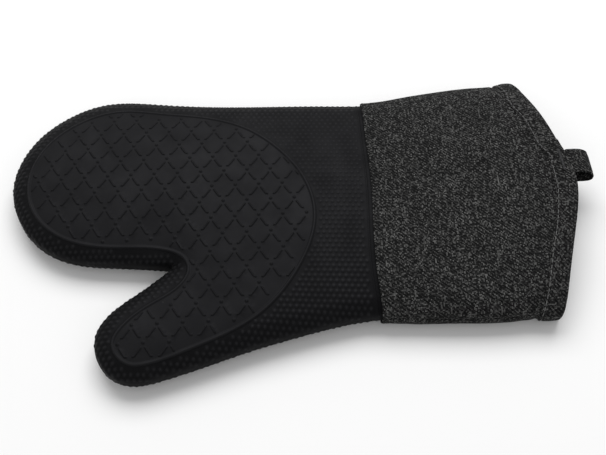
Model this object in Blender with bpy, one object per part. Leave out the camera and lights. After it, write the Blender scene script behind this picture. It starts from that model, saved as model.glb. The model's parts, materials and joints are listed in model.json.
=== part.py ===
"""Heat resistant glove: a moulded silicone mitt with a quilted liner and a denim cuff.

Axes: -X to the fingertips, +X to the cuff's mouth, -Y to the thumb, +Z up.
The mitt lies with one face on z = 0. All driving sizes below are in millimetres.
"""

import math

import bmesh
import bpy
import numpy as np
from mathutils.geometry import delaunay_2d_cdt

MM = 0.001
OBJECT_NAME = "heat_resistant_glove"

# Plan of the mitt's base form, as key points of a smooth line. It runs from the cuff's mouth
# along the index side, round the fingers to the crotch of the thumb, then round the thumb.
FINGER_SIDE = [
    (192, 117.5), (145, 113.8), (124, 110.6), (96, 106.6), (68, 100.8), (46, 96.6), (12, 95.6),
    (-29, 95), (-71, 95.2), (-99, 97), (-120, 98.2), (-139, 95.4), (-157.4, 86), (-174.4, 69.7),
    (-184.6, 49), (-187, 29), (-178.6, 2.4), (-162.6, -16), (-142.5, -25.2), (-118, -27.9),
    (-78.5, -30.2),
]
THUMB_SIDE = [
    (-78.5, -30.2), (-97, -47.2), (-113.3, -61.4), (-120.6, -73.6), (-119.9, -88.1),
    (-109.6, -101.9), (-97.5, -105.6), (-81.2, -102.4), (-59.1, -94.6), (-36.6, -86), (-2.1, -74.6),
    (27.4, -66.6), (46, -63.6), (69, -63.2), (104, -63.2), (140, -61.4), (192, -60),
]
CROTCH_CUT = 2.5  # how far the sharp crotch is rounded back along each side
GRIP_LINE = [  # centre of the raised bead round the grip, a closed line
    (-174.3, 27.5), (-168.6, 53.9), (-148.2, 75.1), (-122, 85.0), (-96, 83.1), (-70, 80.1), (-38.2, 71.1),
    (-16.7, 55.4), (3.2, 28.3), (8.8, 0.1), (-1.8, -34.8), (-25.6, -65.5), (-64.9, -87.2),
    (-89.2, -96.3), (-97.5, -96.9), (-104.6, -92.9), (-109, -83.4), (-105.5, -74.9), (-89.1, -59.4),
    (-72.5, -46.4), (-68.6, -35.9), (-73.6, -25.9), (-84.9, -21.3), (-122, -19.5), (-148.8, -12.7),
    (-168.3, 5.4),
]
HEM_LINE = [  # (y, x) of the mouth's edge, which bows outward
    (-75, 150.2), (-64, 153.4), (-45, 157.5), (-25, 161.9), (0, 168), (20, 171.2), (33, 170.4),
    (45, 166.7), (66, 160.6), (85, 154.4), (105, 147.2), (117, 142.4), (125, 138.6),
]
FRONT_LINE = [  # (y, x) of the cuff's front edge
    (-75, 48), (-62, 46.8), (-40, 44.2), (-10, 43), (25, 42.8), (55, 41), (80, 39.8), (110, 38.4),
]

# Section of the base form: a rounded rim, then a gentle crown that eases off inward.
RIM_WIDTH = 10.0
RIM_HEIGHT = 6.7
UNDER_HEIGHT = 11.5  # the lower half is fuller, where the soft mitt sags on to the table
UNDER_POWER = 2.5
CROWN = 9.5
MOUTH_CROWN = 12.0
CROWN_START = 4.0
CROWN_LENGTH = 35.0
PARTING = 11.5  # height of the plane that divides the two like faces
HAND_LIMIT = 11.5  # the lower face goes no deeper than this, where the mitt rests
CUFF_LIMIT = 8.6
LIMIT_BLEND = 0.7
PLY_GAP = 0.15  # each half stands this far off the parting plane

# Layers, as insets from the base form.
SILICONE = 1.6
FLANGE_END = 68.0
BEAD_RAISE = 0.8
WADDING = (2.6, 4.2)
WADDING_CUFF = (0.2, 2.0)
LINING = (4.6, 5.1)
LINING_CUFF = (2.6, 3.1)
LINING_HEM = (0.0, 0.5)
DENIM = (-2.0, -1.0)
DENIM_HEM = (-1.3, -0.3)
BINDING_OUTER = (-2.2, -1.6)
BINDING_INNER = (0.8, 1.4)
BINDING_WIDTH = 13.0
BINDING_END = 0.7
WADDING_STOP = 34.0
TAPE = (7.0, 7.5)
TAPE_HALF_WIDTH = 1.3
TAPE_STOP = 22.0
STITCH_FROM_EDGE = 11.5
THREAD = 0.2
QUILT_STANDOFF = 0.9

# Hanging loop: a folded strap that stands out from the hem of the upper face.
LOOP_AT_Y = 38.2
LOOP_TURN = -11.0  # degrees from the hem's own direction
LOOP_WIDTH = 18.0
LOOP_PLY = 1.2
LOOP_OUT = 15.9
LOOP_DROP = 10.8
LOOP_ROOT = 2.0  # the fold line about which it swings, this far out from the hem

STATION = 11.5  # spacing of points along the plan
FINE_STATION = 7.5
COARSE_GRID = 18.0
FINE_GRID = 12.0
RIM_ANGLES = [0, 30, 60, 90]
FINE_RIM_ANGLES = [0, 24, 48, 70]
MOUTH_POINTS = 9
ROW_COLOURS = {
    "silicone_shell": (0.018, 0.018, 0.02),
    "cuff": (0.045, 0.046, 0.05),
    "lining": (0.30, 0.30, 0.29),
    "wadding": (0.62, 0.60, 0.55),
    "thread": (0.11, 0.11, 0.115),
    "tape": (0.08, 0.08, 0.085),
}


# ---- plan lines -------------------------------------------------------------------------------


def evenly(line, step):
    """The same line with points an even step apart."""
    along = np.concatenate([[0], np.cumsum(np.linalg.norm(np.diff(line, axis=0), axis=1))])
    at = np.linspace(0, along[-1], max(2, round(along[-1] / step) + 1))
    return np.stack([np.interp(at, along, line[:, k]) for k in range(line.shape[1])], axis=1)


def smooth_line(points, step):
    """A natural cubic through the points, resampled evenly."""
    p = np.array(points, float)
    s = np.concatenate([[0], np.cumsum(np.linalg.norm(np.diff(p, axis=0), axis=1))])
    h = np.diff(s)
    n = len(p)
    a = np.eye(n)
    b = np.zeros_like(p)
    for i in range(1, n - 1):
        a[i, i - 1 : i + 2] = h[i - 1], 2 * (h[i - 1] + h[i]), h[i]
        b[i] = 6 * ((p[i + 1] - p[i]) / h[i] - (p[i] - p[i - 1]) / h[i - 1])
    m = np.linalg.solve(a, b)
    at = np.arange(0, s[-1], 0.5)
    i = np.clip(np.searchsorted(s, at, side="right") - 1, 0, n - 2)
    left = ((s[i + 1] - at) / h[i])[:, None]
    right = 1 - left
    hh = (h[i] ** 2 / 6)[:, None]
    line = left * p[i] + right * p[i + 1] + hh * (
        (left**3 - left) * m[i] + (right**3 - right) * m[i + 1]
    )
    return evenly(np.vstack([line, p[-1:]]), step)


def closed_line(points, step):
    """A smooth closed line through the points, without its first point repeated."""
    lap = 3
    wrapped = points[-lap:] + points + points[: lap + 1]
    line = smooth_line(wrapped, 0.5)
    start = int(np.linalg.norm(line - points[0], axis=1).argmin())
    rest = line[start + 40 :]
    end = start + 40 + int(np.linalg.norm(rest - points[0], axis=1).argmin())
    return evenly(line[start : end + 1], step)[:-1]


def plan_line(step):
    """The whole plan from mouth to mouth, with the crotch of the thumb rounded a little."""
    finger = smooth_line(FINGER_SIDE, 0.5)
    thumb = smooth_line(THUMB_SIDE, 0.5)
    corner = finger[-1]
    cut = round(CROTCH_CUT / 0.5)
    a, b = finger[-1 - cut], thumb[cut]
    t = np.linspace(0, 1, 9)[1:-1, None]
    bend = (1 - t) ** 2 * a + 2 * t * (1 - t) * corner + t**2 * b
    finger = evenly(finger[:-cut], step)
    thumb = evenly(thumb[cut:], step)
    return np.vstack([finger, bend, thumb])


def inward(line):
    """Unit normals to the left of travel, which is toward the inside of the mitt."""
    t = np.gradient(line, axis=0)
    t /= np.linalg.norm(t, axis=1)[:, None]
    return np.stack([-t[:, 1], t[:, 0]], axis=1)


EDGE = plan_line(2.0)
HEM = smooth_line(HEM_LINE, 1.0)
FRONT = smooth_line(FRONT_LINE, 1.0)


def hem_x(y):
    return np.interp(y, HEM[:, 0], HEM[:, 1])


def front_x(y):
    return np.interp(y, FRONT[:, 0], FRONT[:, 1])


def side_line(side):
    """The cuff's side edge, index side +1 or thumb side -1, in order of x."""
    part = EDGE[(EDGE[:, 0] > 20) & (EDGE[:, 1] * side > 0)]
    return part[np.argsort(part[:, 0])]


SIDES = {side: side_line(side) for side in (1, -1)}


def side_y(x, side, inset):
    """y of the cuff's side at x, moved in by inset square to the edge."""
    line = SIDES[side]
    y = np.interp(x, line[:, 0], line[:, 1])
    slope = (np.interp(x + 2, line[:, 0], line[:, 1]) - y) / 2
    return y - side * inset * math.hypot(1, slope)


# ---- the base form ----------------------------------------------------------------------------


def ramp(v):
    v = np.clip(v, 0, 1)
    return v * v * (3 - 2 * v)


def rim_distance(p):
    """Distance in from the plan line, negative outside it."""
    a, b = EDGE[:-1], EDGE[1:]
    d = b - a
    t = ((p[:, None] - a) * d).sum(2) / (d * d).sum(1)
    off = p[:, None] - a - np.clip(t, 0, 1)[:, :, None] * d
    dist = np.linalg.norm(off, axis=2)
    i = dist.argmin(1)
    rel = p - a[i]
    side = d[i, 0] * rel[:, 1] - d[i, 1] * rel[:, 0]
    return dist[np.arange(len(p)), i] * np.where(side < 0, -1, 1)


def crown(p):
    """Extra height toward the middle: it follows a smooth mean of distances to the edge."""
    ds = np.linalg.norm(np.gradient(EDGE, axis=0), axis=1)
    r = np.maximum(np.linalg.norm(p[:, None] - EDGE, axis=2), 0.5)
    reach = (0.5 * (ds / r**3).sum(1)) ** -0.5
    top = CROWN + (MOUTH_CROWN - CROWN) * ramp((p[:, 0] - 60) / 90)
    return top * (1 - np.exp(-np.maximum(reach - CROWN_START, 0) / CROWN_LENGTH))


def limited(h, limit):
    """h, eased over to a constant limit."""
    w = LIMIT_BLEND
    bend = limit - (limit + w - h) ** 2 / (4 * w)
    return np.where(h > limit + w, limit, np.where(h < limit - w, h, bend))


def surface(p, inset, upper):
    """z of one face of the base form, moved in by inset."""
    p = np.asarray(p, float)
    inset = np.broadcast_to(inset, len(p))
    q = np.clip((rim_distance(p) - inset) / (RIM_WIDTH - inset), 0, 1)
    if upper:
        return PARTING + np.sqrt(1 - (1 - q) ** 2) * (RIM_HEIGHT - inset + crown(p))
    rise = (1 - (1 - q) ** UNDER_POWER) ** (1 / UNDER_POWER)
    h = rise * (UNDER_HEIGHT - inset + crown(p))
    deep = HAND_LIMIT + (CUFF_LIMIT - HAND_LIMIT) * ramp((p[:, 0] + 78) / 113)
    return PARTING - limited(h, deep - inset)


def from_hem(p):
    return hem_x(p[:, 1]) - p[:, 0]


def liner_inset(hand, cuff, hem=None):
    """An inset that moves out to fill the cuff once the silicone has ended, then the hem."""

    def inset(p):
        t = hand + (cuff - hand) * ramp((p[:, 0] - FLANGE_END - 3) / 15)
        out = cuff if hem is None else hem
        return t + (out - cuff) * ramp((31 - from_hem(p)) / 16)

    return inset


def denim_inset(face):
    """The cuff's denim lies closer to the lining near the hem."""

    def inset(p):
        return DENIM[face] + (DENIM_HEM[face] - DENIM[face]) * ramp((32 - from_hem(p)) / 16)

    return inset


def steady(value):
    return lambda p: np.full(len(p), value)


# ---- mesh helpers -----------------------------------------------------------------------------


def new_object(name, verts, faces, shade_smooth=True):
    """A named mesh object from points in millimetres, with its faces outward."""
    mesh = bpy.data.meshes.new(name)
    mesh.from_pydata([tuple(v * MM) for v in np.asarray(verts, float)], [], faces)
    bm = bmesh.new()
    bm.from_mesh(mesh)
    bmesh.ops.recalc_face_normals(bm, faces=bm.faces)
    bm.to_mesh(mesh)
    bm.free()
    mesh.polygons.foreach_set("use_smooth", [shade_smooth] * len(mesh.polygons))
    obj = bpy.data.objects.new(name, mesh)
    PARTS.objects.link(obj)
    return obj


def tube(name, points, radius, closed, sides=4):
    """A thread as a bevelled curve, turned into a mesh."""
    curve = bpy.data.curves.new(name + "_path", "CURVE")
    curve.dimensions = "3D"
    curve.bevel_depth = radius * MM
    curve.bevel_resolution = max(0, sides // 2 - 2)
    curve.use_fill_caps = not closed
    spline = curve.splines.new("POLY")
    spline.points.add(len(points) - 1)
    for point, at in zip(spline.points, points):
        point.co = (at[0] * MM, at[1] * MM, at[2] * MM, 1)
    spline.use_cyclic_u = closed
    source = bpy.data.objects.new(name + "_source", curve)
    mesh = bpy.data.meshes.new_from_object(source)
    bpy.data.objects.remove(source)
    bpy.data.curves.remove(curve)
    mesh.name = name
    mesh.materials.clear()
    bm = bmesh.new()
    bm.from_mesh(mesh)
    bmesh.ops.remove_doubles(bm, verts=bm.verts, dist=1e-6)
    bmesh.ops.recalc_face_normals(bm, faces=bm.faces)
    bm.to_mesh(mesh)
    bm.free()
    obj = bpy.data.objects.new(name, mesh)
    PARTS.objects.link(obj)
    return obj


def material(obj, kind, roughness=0.85):
    mat = bpy.data.materials.new(obj.name)
    mat.use_nodes = True
    shader = mat.node_tree.nodes["Principled BSDF"]
    shader.inputs["Base Color"].default_value = (*ROW_COLOURS[kind], 1)
    shader.inputs["Roughness"].default_value = roughness
    obj.data.materials.append(mat)


# ---- bags: shell and liner --------------------------------------------------------------------


def mouth_edge(inset, angles, mouth):
    """Points across the open end, from the thumb side to the index side."""
    points = []
    for side in (-1, 1):
        for a in angles if side < 0 else angles[::-1]:
            p = np.array([[mouth(0.0), 0.0]])
            for _ in range(6):
                t = float(inset(p)[0])
                reach = (RIM_WIDTH - t) * (1 - math.cos(math.radians(a)))
                y = side_y(p[0, 0], side, t + reach)
                p = np.array([[mouth(y), y]])
            points.append(p[0])
    n = len(angles)
    low, high = points[n - 1], points[n]
    span = [low[1] + (high[1] - low[1]) * i / (MOUTH_POINTS + 1) for i in range(1, MOUTH_POINTS + 1)]
    return np.array(points[:n] + [(mouth(y), y) for y in span] + points[n:])


def sheet(inset, angles, stations, grid, mouth, extra=()):
    """Plan points and triangles of one face of a bag: rim rings, then a loose grid inside."""
    base = plan_line(stations)
    normal = inward(base)
    t = inset(base)
    rings = []
    for a in angles:
        reach = (RIM_WIDTH - t) * (1 - math.cos(math.radians(a)))
        ring = base + normal * (t + reach)[:, None]
        rings.append(ring[ring[:, 0] < mouth(ring[:, 1]) - 0.3 * stations])
    edge = mouth_edge(inset, angles, mouth)
    top = (1 - math.cos(math.radians(angles[-1]))) * RIM_WIDTH
    xs = np.arange(-185, 175, grid)
    ys = np.arange(-105, 120, grid * 0.866)
    gx, gy = np.meshgrid(xs, ys)
    gx = gx + 0.5 * grid * (np.arange(len(ys)) % 2)[:, None]
    inside = np.stack([gx.ravel(), gy.ravel()], axis=1)
    near = [np.asarray(e) for e in extra]
    for e in near:
        clear = np.linalg.norm(inside[:, None] - e, axis=2).min(1) > 0.5 * grid
        inside = inside[clear]
    keep = (rim_distance(inside) > top + 0.55 * grid) & (
        inside[:, 0] < mouth(inside[:, 1]) - 0.5 * grid
    )
    near = [e[e[:, 0] < mouth(e[:, 1]) - 2] for e in near]
    points = np.vstack([rings[0], edge] + rings[1:] + near + [inside[keep]])
    n = len(rings[0]) + len(edge)
    _, _, tris, same, _, _ = delaunay_2d_cdt(
        [tuple(p) for p in points], [], [list(range(n))], 1, 1e-4
    )
    if len(same) != len(points):
        raise ValueError("two points of a sheet fell together")
    tris = [tuple(same[i][0] for i in tri) for tri in tris]
    return points, tris, list(range(len(rings[0]))), list(range(len(rings[0]), n))


def bridge(a, b):
    return [(a[i], a[i + 1], b[i + 1], b[i]) for i in range(len(a) - 1)]


def bag(name, outer, inner, mouth, faces_up, fine=False, raised=None, rows=()):
    """A closed solid between two insets. faces_up lists its halves: (True, False) for a whole bag."""
    whole = len(faces_up) == 2
    verts, faces, edges = [], [], []
    for layer, inset in enumerate((outer, inner)):
        detailed = fine and layer == 0
        points, tris, ring, edge = sheet(
            inset,
            FINE_RIM_ANGLES if detailed else RIM_ANGLES,
            FINE_STATION if detailed else STATION,
            FINE_GRID if detailed else COARSE_GRID,
            mouth,
            raised[0] if detailed and raised else rows,
        )
        t = inset(points)
        first = {}
        for upper in faces_up:
            z = surface(points, t, upper)
            if not whole:
                z = z + (PLY_GAP if upper else -PLY_GAP)
            rim = set(ring) | {edge[0], edge[-1]}
            for i in rim:
                z[i] = PARTING + (0 if whole else (PLY_GAP if upper else -PLY_GAP))
            if detailed and raised:
                z = z + raised[1](points) * (1 if upper else -1)
                z = np.maximum(z, PARTING - HAND_LIMIT)  # the bead is pressed flat where it bears
            index = {}
            for i, p in enumerate(points):
                if whole and i in rim and i in first:
                    index[i] = first[i]
                    continue
                index[i] = len(verts)
                verts.append((p[0], p[1], z[i]))
            first = first or index
            faces += [tuple(index[i] for i in tri) for tri in tris]
            edges.append(([index[i] for i in edge], [index[i] for i in ring]))
    half = len(faces_up)
    for k in range(half):
        a, b = edges[k][0], edges[k + half][0]
        if len(a) != len(b):
            raise ValueError("the two layers end with different edges")
        faces += bridge(a, b)
    if not whole:
        a = edges[0][0][-1:] + edges[0][1] + edges[0][0][:1]
        b = edges[1][0][-1:] + edges[1][1] + edges[1][0][:1]
        if len(a) != len(b):
            raise ValueError("the two layers have different rims")
        faces += bridge(a, b)
    return new_object(name, verts, faces)


def hem_rows():
    """Rows of points across the mitt where the lining starts and ends its way out to the hem."""
    y = np.arange(-42, 96, STATION)
    return [np.column_stack([hem_x(y) - back, y]) for back in (15.5, 23, 31)]


def bead_rows():
    """Three rows of points that carry the raised bead round the grip."""
    line = closed_line(GRIP_LINE, FINE_STATION)
    t = np.roll(line, -1, axis=0) - np.roll(line, 1, axis=0)
    t /= np.linalg.norm(t, axis=1)[:, None]
    n = np.stack([-t[:, 1], t[:, 0]], axis=1)
    return [line + n * off for off in (-1.1, 0, 1.1)], line


def bead_height(line):
    def raise_by(p):
        near = np.linalg.norm(p[:, None] - line, axis=2).min(1)
        return np.where(near < 0.05, BEAD_RAISE, 0.0)

    return raise_by


def build_shell():
    rows, line = bead_rows()
    obj = bag(
        "silicone_shell",
        steady(0.0),
        steady(SILICONE),
        lambda y: FLANGE_END + 0 * np.asarray(y),
        (True, False),
        fine=True,
        raised=(rows, bead_height(line)),
    )
    material(obj, "silicone_shell", 0.6)


def build_liner():
    for name, layers, stop, kind in (
        ("wadding", (WADDING, WADDING_CUFF, None), WADDING_STOP, "wadding"),
        ("lining", (LINING, LINING_CUFF, LINING_HEM), 1.6, "lining"),
    ):
        hand, cuff, hem = layers
        for side, upper in (("palm", True), ("back", False)):
            ends = hem or (None, None)
            outer = liner_inset(hand[0], cuff[0], ends[0])
            inner = liner_inset(hand[1], cuff[1], ends[1])
            rows = hem_rows() if hem else ()
            mouth = lambda y, stop=stop: hem_x(y) - stop  # noqa: E731
            obj = bag(f"{side}_{kind}", outer, inner, mouth, (upper,), rows=rows)
            material(obj, kind, 0.95)


def build_seam_tape():
    """Tape round the lining's seam, inside the hand space, open at the mouth."""
    base = plan_line(STATION)
    normal = inward(base)
    shift = liner_inset(0.0, LINING_CUFF[1] - LINING[1])(base)
    stop = hem_x(base[:, 1]) - TAPE_STOP
    keep = base[:, 0] < stop
    base, normal, shift = base[keep], normal[keep], shift[keep]
    verts = []
    for t, z in ((TAPE[0], -1), (TAPE[1], -1), (TAPE[1], 1), (TAPE[0], 1)):
        row = base + normal * (t + shift)[:, None]
        verts += [(x, y, PARTING + z * TAPE_HALF_WIDTH) for x, y in row]
    n = len(base)
    faces = []
    for k in range(4):
        a = [k * n + i for i in range(n)]
        b = [(k + 1) % 4 * n + i for i in range(n)]
        faces += bridge(a, b)
    faces += [(0, n, 2 * n, 3 * n), (n - 1, 2 * n - 1, 3 * n - 1, 4 * n - 1)]
    material(new_object("liner_seam_tape", verts, faces, False), "tape")


# ---- cuff -------------------------------------------------------------------------------------


def section(x_line, inset, upper):
    """Points over one face of the cuff along a line x(y), thumb side to index side."""
    edge = mouth_edge(inset, RIM_ANGLES, x_line)
    z = surface(edge, inset(edge), upper)
    z[[0, -1]] = PARTING
    return np.column_stack([edge, z])


def round_section(x_line, inset):
    """The closed ring of points round the cuff along a line x(y)."""
    over = section(x_line, inset, True)
    under = section(x_line, inset, False)[::-1]
    return np.vstack([over, under[1:-1]])


def cuff_row(share):
    """A line across the cuff, share 0 at its front edge and 1 just short of the hem's edge."""
    return lambda y: front_x(y) + (hem_x(y) - 1.6 - front_x(y)) * share


def build_cuff_panel(name, upper):
    shares = np.linspace(0, 1, 11)
    lift = np.array([0, 0, PLY_GAP if upper else -PLY_GAP])
    verts, faces = [], []
    for inset in (denim_inset(0), denim_inset(1)):
        for share in shares:
            verts += list(section(cuff_row(share), inset, upper) + lift)
    m = len(section(cuff_row(0), denim_inset(0), upper))
    n = len(shares)
    rows = [[k * m + i for i in range(m)] for k in range(2 * n)]
    for k in range(n - 1):
        faces += bridge(rows[k], rows[k + 1])
        faces += bridge(rows[n + k], rows[n + k + 1])
    faces += bridge(rows[0], rows[n]) + bridge(rows[n - 1], rows[2 * n - 1])
    for i in (0, m - 1):
        faces += bridge([r[i] for r in rows[:n]], [r[i] for r in rows[n:]])
    material(new_object(name, verts, faces), "cuff")


def build_binding():
    """Denim binding folded over the mouth's edge, one closed ring."""
    end = BINDING_END
    profile = [
        (BINDING_WIDTH, BINDING_OUTER[0]), (6.5, BINDING_OUTER[0]), (-0.2, BINDING_OUTER[0] + 0.3),
        (-0.7, -0.4), (-0.2, BINDING_INNER[1] - 0.3), (6.5, BINDING_INNER[1]),
        (BINDING_WIDTH, BINDING_INNER[1]), (BINDING_WIDTH, BINDING_INNER[0]),
        (6.5, BINDING_INNER[0]), (end, BINDING_INNER[0]), (end, BINDING_OUTER[1]),
        (6.5, BINDING_OUTER[1]), (BINDING_WIDTH, BINDING_OUTER[1]),
    ]
    rings = [round_section(lambda y, w=w: hem_x(y) - w, steady(t)) for w, t in profile]
    m = len(rings[0])
    verts = np.vstack(rings)
    faces = []
    for k in range(len(rings)):
        a = [k * m + i for i in range(m)] + [k * m]
        j = (k + 1) % len(rings)
        b = [j * m + i for i in range(m)] + [j * m]
        faces += bridge(a, b)
    material(new_object("hem_binding", verts, faces), "cuff")


# ---- hanging loop -----------------------------------------------------------------------------


def loop_frame():
    """Where the loop leaves the hem, the way out and the way along the hem."""
    y = LOOP_AT_Y
    slope = (hem_x(y + 6) - hem_x(y - 6)) / 12
    turn = math.radians(LOOP_TURN) - math.atan(slope)
    along = np.array([-math.sin(turn), math.cos(turn)])
    out = np.array([along[1], -along[0]])
    at = np.array([hem_x(y), y])
    z = surface(at[None] - [[2.0, 0]], 0.0, True)[0] + 0.6
    return at, out, along, z


def loop_profile():
    """The strap's centre line as (out, up) from the hem: it droops to a fold, then comes back."""
    foot = LOOP_DROP
    reach = LOOP_OUT - LOOP_PLY / 2
    points = [(LOOP_ROOT + 0.4, 0.0), (0.4 * reach, -0.05 * foot), (0.66 * reach, -0.19 * foot)]
    points += [(0.87 * reach, -0.42 * foot), (0.98 * reach, -0.68 * foot), (reach, -0.88 * foot)]
    points += [(0.94 * reach, -1.0 * foot), (0.72 * reach, -1.04 * foot)]
    points += [(0.42 * reach, -1.02 * foot), (LOOP_ROOT + 1.3, -foot + 0.5)]
    points += [(LOOP_ROOT + 0.6, -foot + 3), (LOOP_ROOT + 0.5, -foot / 2)]
    points += [(LOOP_ROOT + 0.4, -foot / 5)]
    return points


def build_loop():
    at, out, along, z = loop_frame()
    verts, faces = [], []
    line = np.array(loop_profile())
    t = np.roll(line, -1, axis=0) - np.roll(line, 1, axis=0)
    t /= np.linalg.norm(t, axis=1)[:, None]
    normal = np.stack([t[:, 1], -t[:, 0]], axis=1)
    for off in (-LOOP_PLY / 2, LOOP_PLY / 2):
        for side in (-0.5, 0.5):
            for q in line + normal * off:
                xy = at + out * q[0] + along * (side * LOOP_WIDTH)
                verts.append((xy[0], xy[1], z + q[1]))
    n = len(line)
    order = (0, 1, 3, 2)
    for k in range(4):
        a = [order[k] * n + i for i in range(n)]
        b = [order[(k + 1) % 4] * n + i for i in range(n)]
        faces += bridge(a + a[:1], b + b[:1])
    material(new_object("hanging_loop", verts, faces, False), "cuff")


def build_bartack():
    """Close zigzag stitching across the loop's root, on the outside of the hem."""
    at, out, along, _ = loop_frame()
    points = []
    for i in range(13):
        xy = at - out * (3.4 + 2.2 * (i % 2)) + along * (i - 6) / 6 * 0.42 * LOOP_WIDTH
        z = surface(xy[None], BINDING_OUTER[0] - 0.35 - THREAD, True)[0]
        points.append((xy[0], xy[1], z))
    material(tube("loop_bartack", points, THREAD, False), "thread")


# ---- threads ----------------------------------------------------------------------------------


def build_ring_threads():
    edge = STITCH_FROM_EDGE
    outside = BINDING_OUTER[0] - 0.3 - THREAD
    inside = BINDING_INNER[1] + 0.3 + THREAD
    rings = {
        "hem_top_thread": (lambda y: hem_x(y) - edge, outside),
        "hem_lower_thread": (lambda y: hem_x(y) - edge, inside),
        "cuff_front_seam_thread": (lambda y: front_x(y) + 7, SILICONE + 0.3),
    }
    for name, (line, inset) in rings.items():
        radius = 0.15 if name == "cuff_front_seam_thread" else THREAD
        material(tube(name, round_section(line, steady(inset)), radius, True), "thread")


def build_side_seams():
    """The cuff's side seams, sewn just inside the edge where its two panels meet."""
    for name, side in (("index_side_seam_thread", 1), ("thumb_side_seam_thread", -1)):
        points = []
        for x in np.linspace(52, 118, 7):
            points.append((x, float(side_y(x, side, -0.5)), PARTING))
        material(tube(name, points, 0.15, False), "thread")


def build_quilting():
    """Rows of quilting on the inside of the lining, each face one unbroken run."""
    rows = np.arange(-48, 84, 22)
    for name, upper in (("palm_quilting_thread", True), ("back_quilting_thread", False)):
        plan = []
        for k, y in enumerate(rows):
            xs = np.arange(128, -160, -18)
            p = np.column_stack([xs, np.full(len(xs), y)])
            far = np.flatnonzero(rim_distance(p) < 15)
            p = p[: far[0]] if len(far) else p
            plan.append(p if k % 2 == 0 else p[::-1])
        plan = np.vstack(plan)
        t = liner_inset(LINING[1], LINING_CUFF[1])(plan) + QUILT_STANDOFF + THREAD
        z = surface(plan, t, upper) + (PLY_GAP if upper else -PLY_GAP)
        material(tube(name, np.column_stack([plan, z]), THREAD, False), "thread")


def centre_parts():
    """Moves all the parts together so that their common box is centred and rests on z = 0."""
    points = [v.co for obj in PARTS.objects for v in obj.data.vertices]
    low = [min(p[k] for p in points) for k in range(3)]
    high = [max(p[k] for p in points) for k in range(3)]
    shift = (-(low[0] + high[0]) / 2, -(low[1] + high[1]) / 2, -low[2])
    for obj in PARTS.objects:
        for v in obj.data.vertices:
            v.co.x += shift[0]
            v.co.y += shift[1]
            v.co.z += shift[2]
    return shift


for old in list(bpy.data.objects):
    bpy.data.objects.remove(old)
PARTS = bpy.data.collections.new(OBJECT_NAME)
bpy.context.scene.collection.children.link(PARTS)

build_shell()
build_liner()
build_seam_tape()
build_cuff_panel("cuff_palm_panel", True)
build_cuff_panel("cuff_back_panel", False)
build_binding()
build_loop()
build_bartack()
build_ring_threads()
build_side_seams()
build_quilting()
SHIFT = centre_parts()
AT, OUT, ALONG, ROOT_Z = loop_frame()
PIVOT = AT + OUT * LOOP_ROOT
print("loop fold line at", [PIVOT[0] * MM + SHIFT[0], PIVOT[1] * MM + SHIFT[1], ROOT_Z * MM - 0.2 * MM])
print("loop fold line along", [-ALONG[0], -ALONG[1], 0.0])
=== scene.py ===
"""Looks of the heat resistant glove: moulded silicone mitt, denim cuff, quilted liner.

Plan sizes are in millimetres in the mitt's own plan: -X to the fingertips, +X to the cuff's mouth.
"""

import json
import math

import bpy
import numpy as np
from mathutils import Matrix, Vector
from mathutils.geometry import delaunay_2d_cdt
from mathutils.kdtree import KDTree


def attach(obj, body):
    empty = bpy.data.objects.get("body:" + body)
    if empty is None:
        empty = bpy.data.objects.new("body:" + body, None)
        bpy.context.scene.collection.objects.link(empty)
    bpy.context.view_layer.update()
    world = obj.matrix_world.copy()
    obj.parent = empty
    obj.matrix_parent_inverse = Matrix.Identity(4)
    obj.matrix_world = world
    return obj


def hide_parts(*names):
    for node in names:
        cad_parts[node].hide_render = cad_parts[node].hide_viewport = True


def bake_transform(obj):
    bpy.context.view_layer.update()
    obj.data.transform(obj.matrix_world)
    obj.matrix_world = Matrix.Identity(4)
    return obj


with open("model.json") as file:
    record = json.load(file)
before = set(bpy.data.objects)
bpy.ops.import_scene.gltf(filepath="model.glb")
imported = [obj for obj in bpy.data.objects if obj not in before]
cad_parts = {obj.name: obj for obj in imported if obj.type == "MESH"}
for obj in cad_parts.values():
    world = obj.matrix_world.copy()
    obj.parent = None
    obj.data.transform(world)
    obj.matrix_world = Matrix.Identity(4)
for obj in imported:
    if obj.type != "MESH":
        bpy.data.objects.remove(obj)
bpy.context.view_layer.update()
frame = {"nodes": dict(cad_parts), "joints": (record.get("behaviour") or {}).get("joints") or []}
MM = 0.001

# ---- the mitt's form, as the CAD's but for the grip's line and the hem's end ----

FINGER_SIDE = [
    (192, 117.5), (145, 113.8), (124, 110.6), (96, 106.6), (68, 100.8), (46, 96.6), (12, 95.6),
    (-29, 95), (-71, 95.2), (-99, 97), (-120, 98.2), (-139, 95.4), (-157.4, 86), (-174.4, 69.7),
    (-184.6, 49), (-187, 29), (-178.6, 2.4), (-162.6, -16), (-142.5, -25.2), (-118, -27.9),
    (-78.5, -30.2),
]
THUMB_SIDE = [
    (-78.5, -30.2), (-97, -47.2), (-113.3, -61.4), (-120.6, -73.6), (-119.9, -88.1),
    (-109.6, -101.9), (-97.5, -105.6), (-81.2, -102.4), (-59.1, -94.6), (-36.6, -86), (-2.1, -74.6),
    (27.4, -66.6), (46, -63.6), (69, -63.2), (104, -63.2), (140, -61.4), (192, -60),
]
GRIP_LINE = [
    (-174.8, 26.4), (-169.2, 52.6), (-148.2, 75.1), (-122, 85.0), (-96, 83.1), (-70, 80.1),
    (-39.2, 70.1), (-18.6, 53.9), (0.7, 27.3), (7.2, 0.1), (-2.2, -34.8), (-25.6, -65.5),
    (-64.9, -87.2), (-89.2, -96.3), (-97.5, -96.9), (-104.6, -92.9), (-109, -83.4),
    (-105.5, -74.9), (-89.1, -59.4), (-72.5, -46.4), (-68.6, -35.9), (-73.6, -25.9),
    (-84.9, -21.3), (-122, -19.5), (-148.8, -12.7), (-168.3, 5.4),
]
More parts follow.
